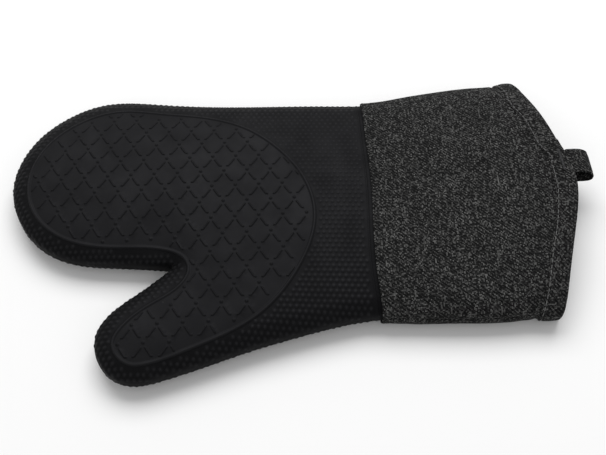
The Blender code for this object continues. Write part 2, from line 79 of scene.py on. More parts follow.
HEM_LINE = [
    (-75, 150.2), (-64, 153.4), (-45, 157.5), (-25, 161.9), (0, 168), (20, 171.2), (33, 170.4),
    (45, 166.7), (66, 160.6), (85, 154.4), (105, 146.7), (117, 143.0), (125, 139.6),
]
FRONT_LINE = [
    (-75, 48), (-62, 46.8), (-40, 44.2), (-10, 43), (25, 42.8), (55, 41), (80, 39.8), (110, 38.4),
]
RIM_WIDTH = 10.0
RIM_HEIGHT = 6.7
UNDER_HEIGHT = 11.5
UNDER_POWER = 2.5
CROWN = 9.5
MOUTH_CROWN = 12.0
CROWN_START = 4.0
CROWN_LENGTH = 35.0
PARTING = 11.5
HAND_LIMIT = 11.5
CUFF_LIMIT = 8.6
LIMIT_BLEND = 0.7
CROTCH_CUT = 2.5
SILICONE = 1.6
FLANGE_END = 68.0
LOOP_AT_Y = 38.2
LOOP_TURN = -11.0  # degrees from the hem's own direction
LOOP_WIDTH = 18.0
LOOP_OUT = 15.9
LOOP_DROP = 10.8
LOOP_ROOT = 2.0
LOOP_SHAPE = [  # the strap's droop, as shares of its reach and its drop
    (0.4, 0.03), (0.7, 0.14), (0.93, 0.36), (1.03, 0.66), (1.02, 0.88), (0.94, 1.0), (0.72, 1.04),
    (0.42, 1.02),
]
BARTACK_RADIUS = 0.2


def evenly(line, step):
    along = lengths(line)
    return at_lengths(np.linspace(0, along[-1], max(2, round(along[-1] / step) + 1)), along, line)


def lengths(line):
    """Distance along a line at each of its points."""
    return np.concatenate([[0], np.cumsum(np.linalg.norm(np.diff(line, axis=0), axis=1))])


def at_lengths(at, along, line):
    """Points of a line at some distances, where along holds the distance of each of its own."""
    return np.stack([np.interp(at, along, line[:, k]) for k in range(line.shape[1])], axis=1)


def unit(v):
    """Vectors brought to length 1."""
    return v / np.maximum(np.linalg.norm(v, axis=-1, keepdims=True), 1e-9)


def sideways(line, closed=False):
    """Unit normals to the left of a plan line."""
    if closed:
        run = np.roll(line, -1, axis=0) - np.roll(line, 1, axis=0)
    else:
        run = np.gradient(line, axis=0)
    return unit(np.stack([-run[:, 1], run[:, 0]], axis=1))


def bent(a, b, c, t):
    """A round corner from a to c that leans to b."""
    return (1 - t) ** 2 * a + 2 * t * (1 - t) * b + t**2 * c


def smooth_line(points, step):
    """A natural cubic through the points, resampled evenly."""
    p = np.array(points, float)
    s = lengths(p)
    h = np.diff(s)
    n = len(p)
    a = np.eye(n)
    b = np.zeros_like(p)
    for i in range(1, n - 1):
        a[i, i - 1 : i + 2] = h[i - 1], 2 * (h[i - 1] + h[i]), h[i]
        b[i] = 6 * ((p[i + 1] - p[i]) / h[i] - (p[i] - p[i - 1]) / h[i - 1])
    m = np.linalg.solve(a, b)
    at = np.arange(0, s[-1], 0.5)
    i = np.clip(np.searchsorted(s, at, side="right") - 1, 0, n - 2)
    left = ((s[i + 1] - at) / h[i])[:, None]
    right = 1 - left
    hh = (h[i] ** 2 / 6)[:, None]
    line = left * p[i] + right * p[i + 1] + hh * (
        (left**3 - left) * m[i] + (right**3 - right) * m[i + 1]
    )
    return evenly(np.vstack([line, p[-1:]]), step)


def closed_line(points, step):
    """A smooth closed line through the points, without its first point repeated."""
    wrapped = points[-3:] + points + points[:4]
    line = smooth_line(wrapped, 0.5)
    start = int(np.linalg.norm(line - points[0], axis=1).argmin())
    rest = line[start + 40 :]
    end = start + 40 + int(np.linalg.norm(rest - points[0], axis=1).argmin())
    return evenly(line[start : end + 1], step)[:-1]


def plan_line(step):
    """The whole outline from mouth to mouth, with the crotch of the thumb rounded a little."""
    finger = smooth_line(FINGER_SIDE, 0.5)
    thumb = smooth_line(THUMB_SIDE, 0.5)
    cut = round(CROTCH_CUT / 0.5)
    bend = bent(finger[-1 - cut], finger[-1], thumb[cut], np.linspace(0, 1, 9)[1:-1, None])
    return np.vstack([evenly(finger[:-cut], step), bend, evenly(thumb[cut:], step)])


EDGE = plan_line(2.0)
FINE_EDGE = plan_line(1.0)
HEM = smooth_line(HEM_LINE, 1.0)
FRONT = smooth_line(FRONT_LINE, 1.0)


def hem_x(y):
    return np.interp(y, HEM[:, 0], HEM[:, 1])


def front_x(y):
    return np.interp(y, FRONT[:, 0], FRONT[:, 1])


def side_line(side):
    part = EDGE[(EDGE[:, 0] > 20) & (EDGE[:, 1] * side > 0)]
    return part[np.argsort(part[:, 0])]


SIDES = {side: side_line(side) for side in (1, -1)}


def side_y(x, side, inset):
    """y of the cuff's side at x, moved in by inset square to the edge."""
    line = SIDES[side]
    y = np.interp(x, line[:, 0], line[:, 1])
    slope = (np.interp(x + 2, line[:, 0], line[:, 1]) - y) / 2
    return y - side * inset * np.hypot(1, slope)


def ramp(v):
    v = np.clip(v, 0, 1)
    return v * v * (3 - 2 * v)


def in_pieces(work):
    """Runs work on a few thousand points at a time, to save memory."""

    def run(p, *rest):
        return np.concatenate([work(p[i : i + 3000], *rest) for i in range(0, len(p), 3000)])

    return run


@in_pieces
def rim_distance(p):
    """Distance in from the outline, negative outside it."""
    a, b = FINE_EDGE[:-1], FINE_EDGE[1:]
    d = b - a
    dd = (d * d).sum(1)
    rel = p[:, None] - a
    t = np.clip((rel[..., 0] * d[:, 0] + rel[..., 1] * d[:, 1]) / dd, 0, 1)
    off = np.hypot(rel[..., 0] - t * d[:, 0], rel[..., 1] - t * d[:, 1])
    i = off.argmin(1)
    row = np.arange(len(p))
    side = d[i, 0] * rel[row, i, 1] - d[i, 1] * rel[row, i, 0]
    return off[row, i] * np.where(side < 0, -1, 1)


def rim_rise(p, inset=0.0):
    """Rise of the rim's turn at plan points, 0 at the outline to 1 inside it."""
    q = np.clip((rim_distance(p) - inset) / (RIM_WIDTH - inset), 0, 1)
    return np.sqrt(1 - (1 - q) ** 2)


@in_pieces
def crown(p):
    """Extra height toward the middle: it follows a smooth mean of distances to the edge."""
    ds = np.linalg.norm(np.gradient(EDGE, axis=0), axis=1)
    r = np.maximum(np.hypot(p[:, :1] - EDGE[:, 0], p[:, 1:] - EDGE[:, 1]), 0.5)
    reach = (0.5 * (ds / r**3).sum(1)) ** -0.5
    top = CROWN + (MOUTH_CROWN - CROWN) * ramp((p[:, 0] - 60) / 90)
    return top * (1 - np.exp(-np.maximum(reach - CROWN_START, 0) / CROWN_LENGTH))


def limited(h, limit):
    """h, eased over to a constant limit."""
    w = LIMIT_BLEND
    bend = limit - (limit + w - h) ** 2 / (4 * w)
    return np.where(h > limit + w, limit, np.where(h < limit - w, h, bend))


def face_z(p, rise, inset, upper, lift=0.0):
    """z of a face from its rise, 0 at the rim to 1 inside; lift keeps it off the floor."""
    if upper:
        return PARTING + rise * (RIM_HEIGHT - inset + crown(p))
    fuller = (1 - (1 - rise**2) ** (UNDER_POWER / 2)) ** (1 / UNDER_POWER)
    h = fuller * (UNDER_HEIGHT - inset + crown(p))
    deep = HAND_LIMIT + (CUFF_LIMIT - HAND_LIMIT) * ramp((p[:, 0] + 78) / 113)
    return PARTING - limited(h, deep - inset - lift)


def surface(p, inset, upper, lift=0.0):
    """z of one face of the base form, moved in by inset."""
    p = np.asarray(p, float)
    inset = np.broadcast_to(inset, len(p))
    return face_z(p, rim_rise(p, inset), inset, upper, lift)


def from_hem(p):
    return hem_x(p[:, 1]) - p[:, 0]


def loop_frame():
    """Where the loop leaves the hem, the way out, the way along the hem, and the height."""
    y = LOOP_AT_Y
    slope = (hem_x(y + 6) - hem_x(y - 6)) / 12
    turn = math.radians(LOOP_TURN) - math.atan(slope)
    along = np.array([-math.sin(turn), math.cos(turn)])
    out = np.array([along[1], -along[0]])
    at = np.array([hem_x(y), y])
    z = surface(at[None] - [[2.0, 0]], 0.0, True)[0] + 0.6
    return at, out, along, z


LOOP_AT, LOOP_DIR, LOOP_ALONG, LOOP_Z = loop_frame()
PIVOT = LOOP_AT + LOOP_DIR * LOOP_ROOT
JOINT = frame["joints"][0]
SHIFT = np.array(JOINT["pos_m"]) / MM - [PIVOT[0], PIVOT[1], LOOP_Z - 0.2]


def to_row(points):
    """Plan millimetres to the row frame in metres."""
    return (np.asarray(points, float) + SHIFT) * MM


# ---- mesh helpers ----


def add_mesh(name, points, faces, material):
    """A smooth mesh object from plan points in millimetres."""
    mesh = bpy.data.meshes.new(name)
    mesh.from_pydata(to_row(points).tolist(), [], faces)
    mesh.polygons.foreach_set("use_smooth", [True] * len(mesh.polygons))
    mesh.materials.append(material)
    obj = bpy.data.objects.new(name, mesh)
    bpy.context.scene.collection.objects.link(obj)
    return obj


def triangulate(boundary, inside):
    """Triangles over a polygon with points inside it, as indices into the two lists together."""
    points = np.vstack([boundary, inside])
    n = len(boundary)
    out = delaunay_2d_cdt([tuple(p) for p in points], [], [list(range(n))], 1, 1e-5)
    tris, same = out[2], out[3]
    if len(same) != len(points):
        raise ValueError("two points of a face fell together")
    t = np.array([[same[i][0] for i in tri] for tri in tris])
    u, v = points[t[:, 1]] - points[t[:, 0]], points[t[:, 2]] - points[t[:, 0]]
    back = u[:, 0] * v[:, 1] - u[:, 1] * v[:, 0] < 0
    t[back] = t[back][:, ::-1]
    return [tuple(int(i) for i in tri) for tri in t]


def tree_of(points):
    tree = KDTree(len(points))
    for i, p in enumerate(points):
        tree.insert((p[0], p[1], p[2] if len(p) > 2 else 0), i)
    tree.balance()
    return tree


def nearest(tree, points):
    """Distance from each plan point to the nearest point of a tree."""
    return np.array([tree.find((p[0], p[1], 0))[2] for p in points])


def thinned(points, near, gap):
    """The points that lie further than gap from all of near."""
    return points[nearest(tree_of(near), points) > gap]


def spread(points, gap):
    """Drops each point that is closer than gap to one kept before it."""
    tree = tree_of(points)
    dropped = set()
    for i, p in enumerate(points):
        if i not in dropped:
            dropped.update(j for _, j, _ in tree.find_range((p[0], p[1], 0), gap) if j > i)
    return points[[i for i in range(len(points)) if i not in dropped]]


def inside_of(line, p):
    """Which points lie inside a closed line."""
    after = np.roll(line, -1, axis=0)
    x, y = p[:, :1], p[:, 1:]
    cross = (line[:, 1] > y) != (after[:, 1] > y)
    with np.errstate(divide="ignore", invalid="ignore"):
        at = (after[:, 0] - line[:, 0]) * (y - line[:, 1]) / (after[:, 1] - line[:, 1])
    return (cross & (x < at + line[:, 0])).sum(1) % 2 == 1


def hex_grid(step, low, high, row=None):
    """Staggered points over a box; row is the distance between rows where it isn't even."""
    rows = np.arange(low[1], high[1], row or step * 0.866)
    x, y = np.meshgrid(np.arange(low[0], high[0], step), rows)
    x = x + 0.5 * step * (np.arange(len(rows)) % 2)[:, None]
    return np.stack([x.ravel(), y.ravel()], axis=1)


def normals_of(points, tris):
    t = np.array(tris)
    a, b, c = points[t[:, 0]], points[t[:, 1]], points[t[:, 2]]
    out = np.zeros_like(points)
    for k in range(3):
        np.add.at(out, t[:, k], np.cross(b - a, c - a))
    return unit(out)


# ---- materials ----

DENIM_YARN = 0.0008  # metres from yarn to yarn
COTTON_YARN = 0.0005


class Nodes:
    """Short calls to wire one material."""

    def __init__(self, name, roughness, specular, sheen=0.0):
        self.mat = bpy.data.materials.new(name)
        self.mat.use_nodes = True
        self.tree = self.mat.node_tree
        self.shader = self.tree.nodes["Principled BSDF"]
        self.set("Roughness", roughness)
        self.set("Specular IOR Level", specular)
        self.set("Sheen Weight", sheen)

    def set(self, name, value):
        self.into(self.shader.inputs[name], value)

    def node(self, kind, **values):
        """A node; values are its properties or its inputs' constants and links."""
        node = self.tree.nodes.new("ShaderNode" + kind)
        for key, value in values.items():
            if key.startswith("set_"):
                setattr(node, key[4:], value)
        for key, value in values.items():
            if not key.startswith("set_"):
                self.into(node.inputs[int(key[1:]) if key[0] == "i" else key], value)
        return node

    def into(self, socket, value):
        if isinstance(value, bpy.types.NodeSocket):
            self.tree.links.new(value, socket)
        else:
            socket.default_value = value

    def math(self, what, a, b=0.0, c=0.0):
        return self.node("Math", set_operation=what, i0=a, i1=b, i2=c).outputs[0]

    def times(self, a, b):
        return self.math("MULTIPLY", a, b)

    def noise(self, where, scale, detail=2.0, rough=0.5):
        node = self.node("TexNoise", Vector=where, Scale=scale, Detail=detail, Roughness=rough)
        return node.outputs["Fac"]

    def stretch(self, where, x, y, z=1.0):
        node = self.node("VectorMath", set_operation="MULTIPLY", i0=where, i1=(x, y, z))
        return node.outputs[0]

    def between(self, value, low, high, out_low=0.0, out_high=1.0):
        node = self.node(
            "MapRange", i0=value, i1=low, i2=high, i3=out_low, i4=out_high, set_clamp=True
        )
        return node.outputs[0]

    def mix(self, share, a, b):
        node = self.node("Mix", set_data_type="RGBA")
        self.into(node.inputs[0], share)
        for socket, value in ((node.inputs[6], a), (node.inputs[7], b)):
            self.into(socket, (*value, 1.0) if isinstance(value, tuple) else value)
        return node.outputs[2]

    def bump(self, height, distance, strength):
        node = self.node("Bump", Strength=strength, Distance=distance, Height=height)
        self.set("Normal", node.outputs[0])

    def place(self):
        return self.node("TexCoord").outputs["Object"]

    def yarns(self, pitch):
        """The cloth's own place, and its yarn counts across and down."""
        at = self.node("UVMap", set_uv_map="weave").outputs[0]
        parts = self.node("SeparateXYZ", i0=at)
        return at, *(self.math("DIVIDE", parts.outputs[k], pitch) for k in (0, 1))

    def hump(self, value):
        """A yarn's rounded height across its width."""
        x = self.math("SUBTRACT", self.math("FRACT", value), 0.5)
        return self.math("SUBTRACT", 1.0, self.times(self.times(x, x), 4.0))

    def crossing(self, under, top, shows):
        """Height of a weave: of top's yarn where shows is 1, of under's where it is 0."""
        low = self.times(self.hump(under), self.math("SUBTRACT", 1.0, shows))
        return self.math("MAXIMUM", low, self.times(self.hump(top), shows))


def silicone_material():
    m = Nodes("matte_silicone", 0.6, 0.12)
    m.set("Specular Tint", (0.93, 0.93, 1.0, 1.0))
    at = m.place()
    cloud = m.between(m.noise(at, 22.0, 3.0), 0.3, 0.7, -0.08, 0.08)
    # The tone attribute is painted light: painted highlight on raised tops, painted shade between
    # bumps. The cloud is a random tone variation of the silicone.
    painted_light_tone = m.math("ADD", m.node("Attribute", set_attribute_name="painted_light_tone").outputs["Fac"], cloud)
    colour = m.mix(painted_light_tone, (0.0009, 0.0009, 0.001), (0.0085, 0.0085, 0.0092))
    dust = m.node("TexVoronoi", Vector=at, Scale=160.0)
    near = m.between(dust.outputs["Distance"], 0.03, 0.055, 1.0, 0.0)
    pick = m.between(m.node("SeparateColor", i0=dust.outputs["Color"]).outputs[0], 0.95, 0.97)
    m.set("Base Color", m.mix(m.times(near, m.times(pick, 0.35)), colour, (0.12, 0.12, 0.12)))
    m.set("Roughness", m.between(m.noise(at, 60.0, 4.0), 0.3, 0.7, 0.55, 0.68))
    m.bump(m.noise(at, 900.0, 2.0, 0.6), 0.00006, 0.5)
    return m.mat


def denim_material():
    """Twill: dark warp with pale weft that shows in short slanted dashes, uneven as heather is."""
    m = Nodes("black_heather_denim", 0.92, 0.05, 0.01)
    m.set("Sheen Roughness", 0.6)
    at, u, v = m.yarns(DENIM_YARN)
    warp, weft = m.math("FLOOR", u), m.math("FLOOR", v)
    step = m.math("FLOORED_MODULO", m.math("ADD", weft, warp), 3.0)
    shows = m.between(step, 0.4, 0.9, 1.0, 0.0)
    cell = m.node("CombineXYZ", i0=warp, i1=weft).outputs[0]
    chance = m.node("TexWhiteNoise", Vector=cell).outputs["Value"]
    yarn = m.node("TexWhiteNoise", Vector=m.node("CombineXYZ", i0=weft).outputs[0]).outputs["Value"]
    slub = m.noise(m.stretch(at, 160.0, 900.0), 1.0)
    slub_down = m.noise(m.stretch(at, 900.0, 160.0), 1.0)
    stray = m.math("GREATER_THAN", chance, 0.8)
    fleck = m.math("GREATER_THAN", chance, 0.985)
    light = m.math("MAXIMUM", shows, m.times(stray, 0.8))
    light = m.times(light, m.between(m.math("POWER", chance, 1.4), 0.0, 1.0, 0.06, 1.0))
    light = m.times(light, m.between(slub, 0.32, 0.68, 0.25, 1.3))
    light = m.times(light, m.between(yarn, 0.0, 1.0, 0.7, 1.1))
    light = m.math("ADD", light, m.times(m.between(slub_down, 0.5, 0.72), 0.2))
    light = m.times(light, m.between(m.noise(at, 45.0, 3.0), 0.3, 0.7, 0.85, 1.15))
    light = m.math("ADD", light, m.times(fleck, 0.7))
    m.set("Base Color", m.mix(light, (0.0056, 0.0056, 0.0058), (0.119, 0.119, 0.116)))
    fuzz = m.math("MULTIPLY_ADD", m.noise(at, 1600.0), 0.5, m.crossing(u, v, shows))
    m.bump(fuzz, 0.00018, 0.7)
    return m.mat


def cotton_material():
    m = Nodes("grey_cotton_lining", 0.95, 0.1, 0.1)
    at, u, v = m.yarns(COTTON_YARN)
    odd = m.math("FLOORED_MODULO", m.math("ADD", m.math("FLOOR", u), m.math("FLOOR", v)), 2.0)
    cloud = m.noise(at, 60.0, 4.0)
    slub = m.noise(m.stretch(at, 120.0, 1400.0), 1.0)
    colour = m.mix(m.between(cloud, 0.3, 0.7), (0.1, 0.1, 0.103), (0.135, 0.135, 0.138))
    slub = m.times(m.between(slub, 0.4, 0.7), 0.35)
    m.set("Base Color", m.mix(slub, colour, (0.22, 0.22, 0.22)))
    m.bump(m.crossing(v, u, odd), 0.0001, 0.6)
    return m.mat


def wadding_material():
    m = Nodes("fibre_wadding", 1.0, 0.05)
    fibre = m.noise(m.stretch(m.place(), 1.0, 1.0, 3.0), 700.0, 6.0, 0.7)
    m.set("Base Color", m.mix(m.between(fibre, 0.3, 0.7), (0.42, 0.40, 0.36), (0.62, 0.6, 0.56)))
    m.bump(fibre, 0.0004, 0.8)
    return m.mat


def thread_material(name, low, high):
    m = Nodes(name, 0.7, 0.25)
    twist = m.noise(m.place(), 2400.0, 3.0, 0.6)
    m.set("Base Color", m.mix(m.between(twist, 0.3, 0.7), low, high))
    m.bump(twist, 0.00008, 0.6)
    return m.mat


# ---- silicone mitt ----

BEAD_RAISE = 0.8
BEAD_HALF = 1.15
BUMP_STEP = 3.66  # small round bumps in staggered rows
BUMP_ROW = 3.2
BUMP_RADIUS = 1.5
BUMP_RAISE = 0.4
GRIP_FROM = np.array([-57.38, 21.63])  # one crossing of the diamond pattern, and its two steps
GRIP_ACROSS = np.array([14.737, 0.761])
GRIP_DOWN = np.array([-7.037, -11.939])
RIDGE_RAISE = 0.62
RIDGE_HALF = 0.64
STUD_RAISE = 0.7
STUD_RADIUS = 1.25
LIP_RAISE = 0.35
LIP_HALF = 0.75
LIP_AHEAD = 2.8
FLOOR_LIFT = 0.85
PLAN_BOX = ((-190, -110), (50, 105))
BORDER, GRIP, FLANGE = 0, 1, 2  # the zones of the plan
RIM_TURN = 60  # degrees of the rim's turn that are laid out as a strip
TURN_HEIGHT = 7.0  # height of the rim's turn that the strip is measured on
LIP_ROWS = (-0.8, -0.4, 0, 0.4, 0.8)  # rows of points along the lip
FAR = 9.0  # further than any detail reaches

BEAD = closed_line(GRIP_LINE, 1.4)
BEAD_TREE = tree_of(BEAD)


class Strip:
    """The turn of the rim, laid out flat: t along the outline and a up from the parting line."""

    def __init__(self):
        line = plan_line(0.5)
        line = line[line[:, 0] < FLANGE_END]
        self.line = line
        self.normal = sideways(line)
        self.reach = RIM_WIDTH * (1 - math.cos(math.radians(RIM_TURN)))
        rows = (line, line + self.normal * self.reach)
        steps = [np.linalg.norm(np.diff(row, axis=0), axis=1) for row in rows]
        self.t = np.concatenate([[0], np.cumsum(np.maximum(*steps))])
        self.turn = np.radians(np.linspace(0, RIM_TURN, 241))
        reach = RIM_WIDTH * (1 - np.cos(self.turn))
        self.up = lengths(np.stack([reach, TURN_HEIGHT * np.sin(self.turn)], axis=1))
        self.length, self.height = self.t[-1], self.up[-1]
        fuller = (1 - np.cos(self.turn) ** UNDER_POWER) ** (1 / UNDER_POWER)
        down = lengths(np.stack([reach, UNDER_HEIGHT * fuller], axis=1))
        self.down = down * self.height / down[-1]
        self.tree = tree_of(line)

    def plan(self, t, inset, a, upper=True):
        """Plan points and rise at strip coordinates; the lower face is spread over its own turn."""
        turn = np.interp(a, self.up if upper else self.down, self.turn)
        n = unit(at_lengths(t, self.t, self.normal))
        reach = inset + (RIM_WIDTH - inset) * (1 - np.cos(turn))
        return at_lengths(t, self.t, self.line) + n * reach[:, None], np.sin(turn)

    def locate(self, p):
        """t of the outline's nearest point, for each plan point."""
        return np.array([self.t[self.tree.find((q[0], q[1], 0))[1]] for q in p])


STRIP = Strip()


def disc(radii, counts):
    """Points of a small round feature: its centre, then rings."""
    points = [(0.0, 0.0)]
    for k, (r, n) in enumerate(zip(radii, counts)):
        turn = 2 * math.pi * (np.arange(n) + 0.5 * (k % 2)) / n
        points += list(zip(r * np.cos(turn), r * np.sin(turn)))
    return np.array(points)


BUMP_DISC = disc((0.55, 1.05, BUMP_RADIUS), (6, 9, 9))


def bump_lattice():
    """Centres of the small bumps over the border round the grip, and how far in they lie."""
    p = hex_grid(BUMP_STEP, (-194, -112), (48, 104), BUMP_ROW)
    p = p[p[:, 0] < front_x(p[:, 1]) - LIP_AHEAD - 2.2]
    p = p[nearest(BEAD_TREE, p) > BEAD_HALF + 1.5]
    p = p[~inside_of(BEAD, p)]
    d = rim_distance(p)
    keep = d > STRIP.reach - STRIP.height + 1.4
    return p[keep], d[keep]


def ridge_paths():
    """Centre lines of the diamond pattern's arms, and the studs at its crossings."""
    arms, studs = [], []
    x = GRIP_ACROSS / np.linalg.norm(GRIP_ACROSS)
    y = np.array([-x[1], x[0]])
    for i in range(-30, 31):
        for j in range(-16, 17):
            at = GRIP_FROM + i * GRIP_ACROSS + j * GRIP_DOWN
            studs.append(at)
            for side in (-1, 1):
                low = at + GRIP_DOWN + (GRIP_ACROSS if side > 0 else 0)
                start = at + x * 1.3 * side - y * 3.0
                knee = low - x * 2.6 * side + y * 3.3
                arms.append(arm_line(start, knee, low - x * 1.9 * side + y * 3.5))
    studs = np.array(studs)
    studs = studs[inside_of(BEAD, studs)]
    studs = studs[nearest(BEAD_TREE, studs) > BEAD_HALF + STUD_RADIUS + 0.4]
    kept = []
    for arm in arms:
        clear = nearest(BEAD_TREE, arm) > BEAD_HALF + RIDGE_HALF + 0.1
        run = np.flatnonzero(inside_of(BEAD, arm) & clear)
        if len(run) >= 4:
            kept.append(arm[run[0] : run[-1] + 1])
    return kept, studs


def arm_line(start, knee, toe):
    """A straight arm whose end hooks over, with a small round at the knee."""
    a = knee + (start - knee) * 0.16
    b = knee + (toe - knee) * 0.5
    bend = bent(a, knee, b, np.linspace(0, 1, 5)[:, None])
    return evenly(np.vstack([start[None], bend, toe[None]]), 0.9)


def across(line, offsets):
    """Rows of points beside a line, and round its two ends."""
    n = sideways(line)
    rows = [line + n * off for off in offsets]
    ends = []
    for k, way in ((0, -1), (-1, 1)):
        t = np.array([n[k][1], -n[k][0]])
        for r in sorted({abs(off) for off in offsets}):
            for turn in (-0.9, 0, 0.9):
                ends.append(line[k] + r * (way * math.cos(turn) * t + math.sin(turn) * n[k]))
    return np.vstack(rows + [np.array(ends)])


def distance_to(lines, p):
    """Distance from points to the nearest of many short lines, by their nearest samples."""
    a = np.vstack([line[:-1] for line in lines])
    b = np.vstack([line[1:] for line in lines])
    tree = tree_of((a + b) / 2)
    out = np.full(len(p), FAR)
    for i, q in enumerate(p):
        for _, k, _ in tree.find_range((q[0], q[1], 0), 2.2):
            out[i] = min(out[i], point_to(q, a[k], b[k]))
    return out


def mound(r, half, power=2.0):
    """A rounded rise of height 1 that ends at half."""
    x = np.clip(r / half, 0, 1)
    return (1 - x**2) ** power


def strip_outline(seam_step, ring_step):
    """The strip's outline, its seam's count, and where its ring and its two ends run."""
    seam, ring = even_stations(seam_step), even_stations(ring_step)
    levels = np.linspace(0, STRIP.height, 9)[1:-1]
    edge = np.vstack([
        np.column_stack([seam, np.zeros(len(seam))]),
        np.column_stack([np.full(len(levels), STRIP.length), levels]),
        np.column_stack([ring, np.full(len(ring), STRIP.height)])[::-1],
        np.column_stack([np.zeros(len(levels)), levels[::-1]]),
    ])
    top = len(seam) + len(levels)
    ring_ids = list(range(top + len(ring) - 1, top - 1, -1))
    thumb_end = list(range(len(seam) - 1, top + 1))
    finger_end = [ring_ids[0], *range(top + len(ring), len(edge)), 0]
    return edge, len(seam), ring_ids, thumb_end, finger_end


def ring_and_mouth(outline, inset):
    """The plan line inside the strip, and the row that closes it across the flange's end."""
    edge, _, ring_ids = outline[:3]
    ring, _ = STRIP.plan(edge[ring_ids, 0], inset, edge[ring_ids, 1])
    return ring, np.linspace(ring[-1], ring[0], 30)[1:-1]


def skin(outline, strip_fill, plan_fill, inset, first, detail=None):
    """Both faces of one side of the silicone, numbered from first, the lines of its mouth, painted
    light tone.
    """
    edge, n_seam, ring_ids, thumb_end, finger_end = outline
    strip_points = np.vstack([edge, strip_fill])
    base = len(strip_points)
    ring, mouth = ring_and_mouth(outline, inset)
    plan_points = np.vstack([mouth, plan_fill])
    plan_ids = list(range(base, base + len(plan_points)))
    ids = ring_ids + plan_ids
    mouth_ids = thumb_end + plan_ids[: len(mouth)] + finger_end
    face = triangulate(edge, strip_fill)
    plan_tris = triangulate(np.vstack([ring, mouth]), plan_fill)
    face += [tuple(ids[i] for i in tri) for tri in plan_tris]
    inner_rise = rim_rise(plan_points, inset)
    verts, tris, loops, painted_light_tone = [], [], [], None
    for upper in (True, False):
        flat, rise = STRIP.plan(strip_points[:, 0], inset, strip_points[:, 1], upper)
        flat = np.vstack([flat, plan_points])
        rise = np.concatenate([rise, inner_rise])
        z = face_z(flat, rise, inset, upper, FLOOR_LIFT)
        z[:n_seam] = PARTING
        pts = np.column_stack([flat, z])
        good = face if upper == (inset == 0) else [tri[::-1] for tri in face]
        if detail:
            if upper:
                raised, painted_light_tone = detail(flat, rise, strip_points[:, 1])
            n = normals_of(pts, good)
            n[:n_seam, 2] = 0
            n[:n_seam] = unit(n[:n_seam])
            pts = pts + n * raised[:, None]
        if upper:
            index = np.arange(len(pts)) + first
            verts.append(pts)
        else:
            rest = np.arange(len(pts) - n_seam) + index[-1] + 1
            index = np.concatenate([index[:n_seam], rest])
            verts.append(pts[n_seam:])
        tris += [tuple(int(index[i]) for i in tri) for tri in good]
        loops.append(index[mouth_ids].tolist())
    if detail:
        painted_light_tone = np.concatenate([painted_light_tone, painted_light_tone[n_seam:]])
    return np.vstack(verts), tris, loops, painted_light_tone


def rim_bumps(bumps, bump_d):
    """Strip places of the bumps that lie on the rim's turn, and the strip's scale there."""
    on_rim = bump_d < STRIP.reach
    t = STRIP.locate(bumps[on_rim])
    a = STRIP.height - STRIP.reach + bump_d[on_rim]
    ends = [STRIP.plan(t + off, 0.0, a)[0] for off in (-0.4, 0.4)]
    scale = np.linalg.norm(ends[1] - ends[0], axis=1) / 0.8
    here = np.column_stack([t, a])[scale > 0.3]
    scale = scale[scale > 0.3]
    order = spread_strip(here, scale, 2.5)
    return here[order], scale[order]


def strip_marks(rim_here, scale):
    """Points of the outer skin on the strip."""
    marks = rim_here[:, None] + BUMP_DISC / np.stack([scale, np.ones_like(scale)], 1)[:, None]
    marks = np.vstack([marks.reshape(-1, 2), lip_marks()])
    marks = marks[(marks[:, 0] > 0.6) & (marks[:, 0] < STRIP.length - 0.6)]
    marks = marks[(marks[:, 1] > 0.35) & (marks[:, 1] < STRIP.height - 0.35)]
    marks = spread(marks, 0.28)
    fill = hex_grid(1.25, (1.0, 0.9), (STRIP.length - 0.8, STRIP.height - 0.5))
    return np.vstack([marks, thinned(fill, marks, 0.8)])


def zone(p):
    """Which zone each plan point is in. The flange is the part under the cuff."""
    border = np.where(p[:, 0] < front_x(p[:, 1]) + 1, BORDER, FLANGE)
    return np.where(inside_of(BEAD, p), GRIP, border)


def plan_marks(flat_bumps, arms, studs, plan_edge):
    """Points of the outer skin inside the strip: close along the detail, open between it."""
    normal = sideways(BEAD, closed=True)
    marks = [(flat_bumps[:, None] + BUMP_DISC).reshape(-1, 2)]
    marks += [BEAD + normal * off for off in (-1.7, -1.2, -0.8, -0.42, 0, 0.42, 0.8, 1.2, 1.7)]
    marks += [across(arm, (-1.0, -0.64, -0.4, -0.15, 0.15, 0.4, 0.64, 1.0)) for arm in arms]
    dots = disc((0.45, 0.9, 1.25, 1.65), (6, 9, 12, 12))
    marks += [(studs[:, None] + dots).reshape(-1, 2)]
    y = np.arange(-60, 92, 1.3)
    marks += [np.column_stack([front_x(y) - LIP_AHEAD + off, y]) for off in LIP_ROWS]
    marks = np.vstack(marks)
    marks = spread(marks[inside_of(plan_edge, marks)], 0.24)
    for kind, step, box, gap in (
        (BORDER, 1.3, PLAN_BOX, 0.85),
        (GRIP, 3.0, PLAN_BOX, 1.3),
        (FLANGE, 6.0, ((38, -70), (66, 105)), 3.5),
    ):
        grid = hex_grid(step, *box)
        marks = np.vstack([marks, thinned(grid[zone(grid) == kind], marks, gap)])
    return thinned(marks[inside_of(plan_edge, marks)], plan_edge, 0.45)


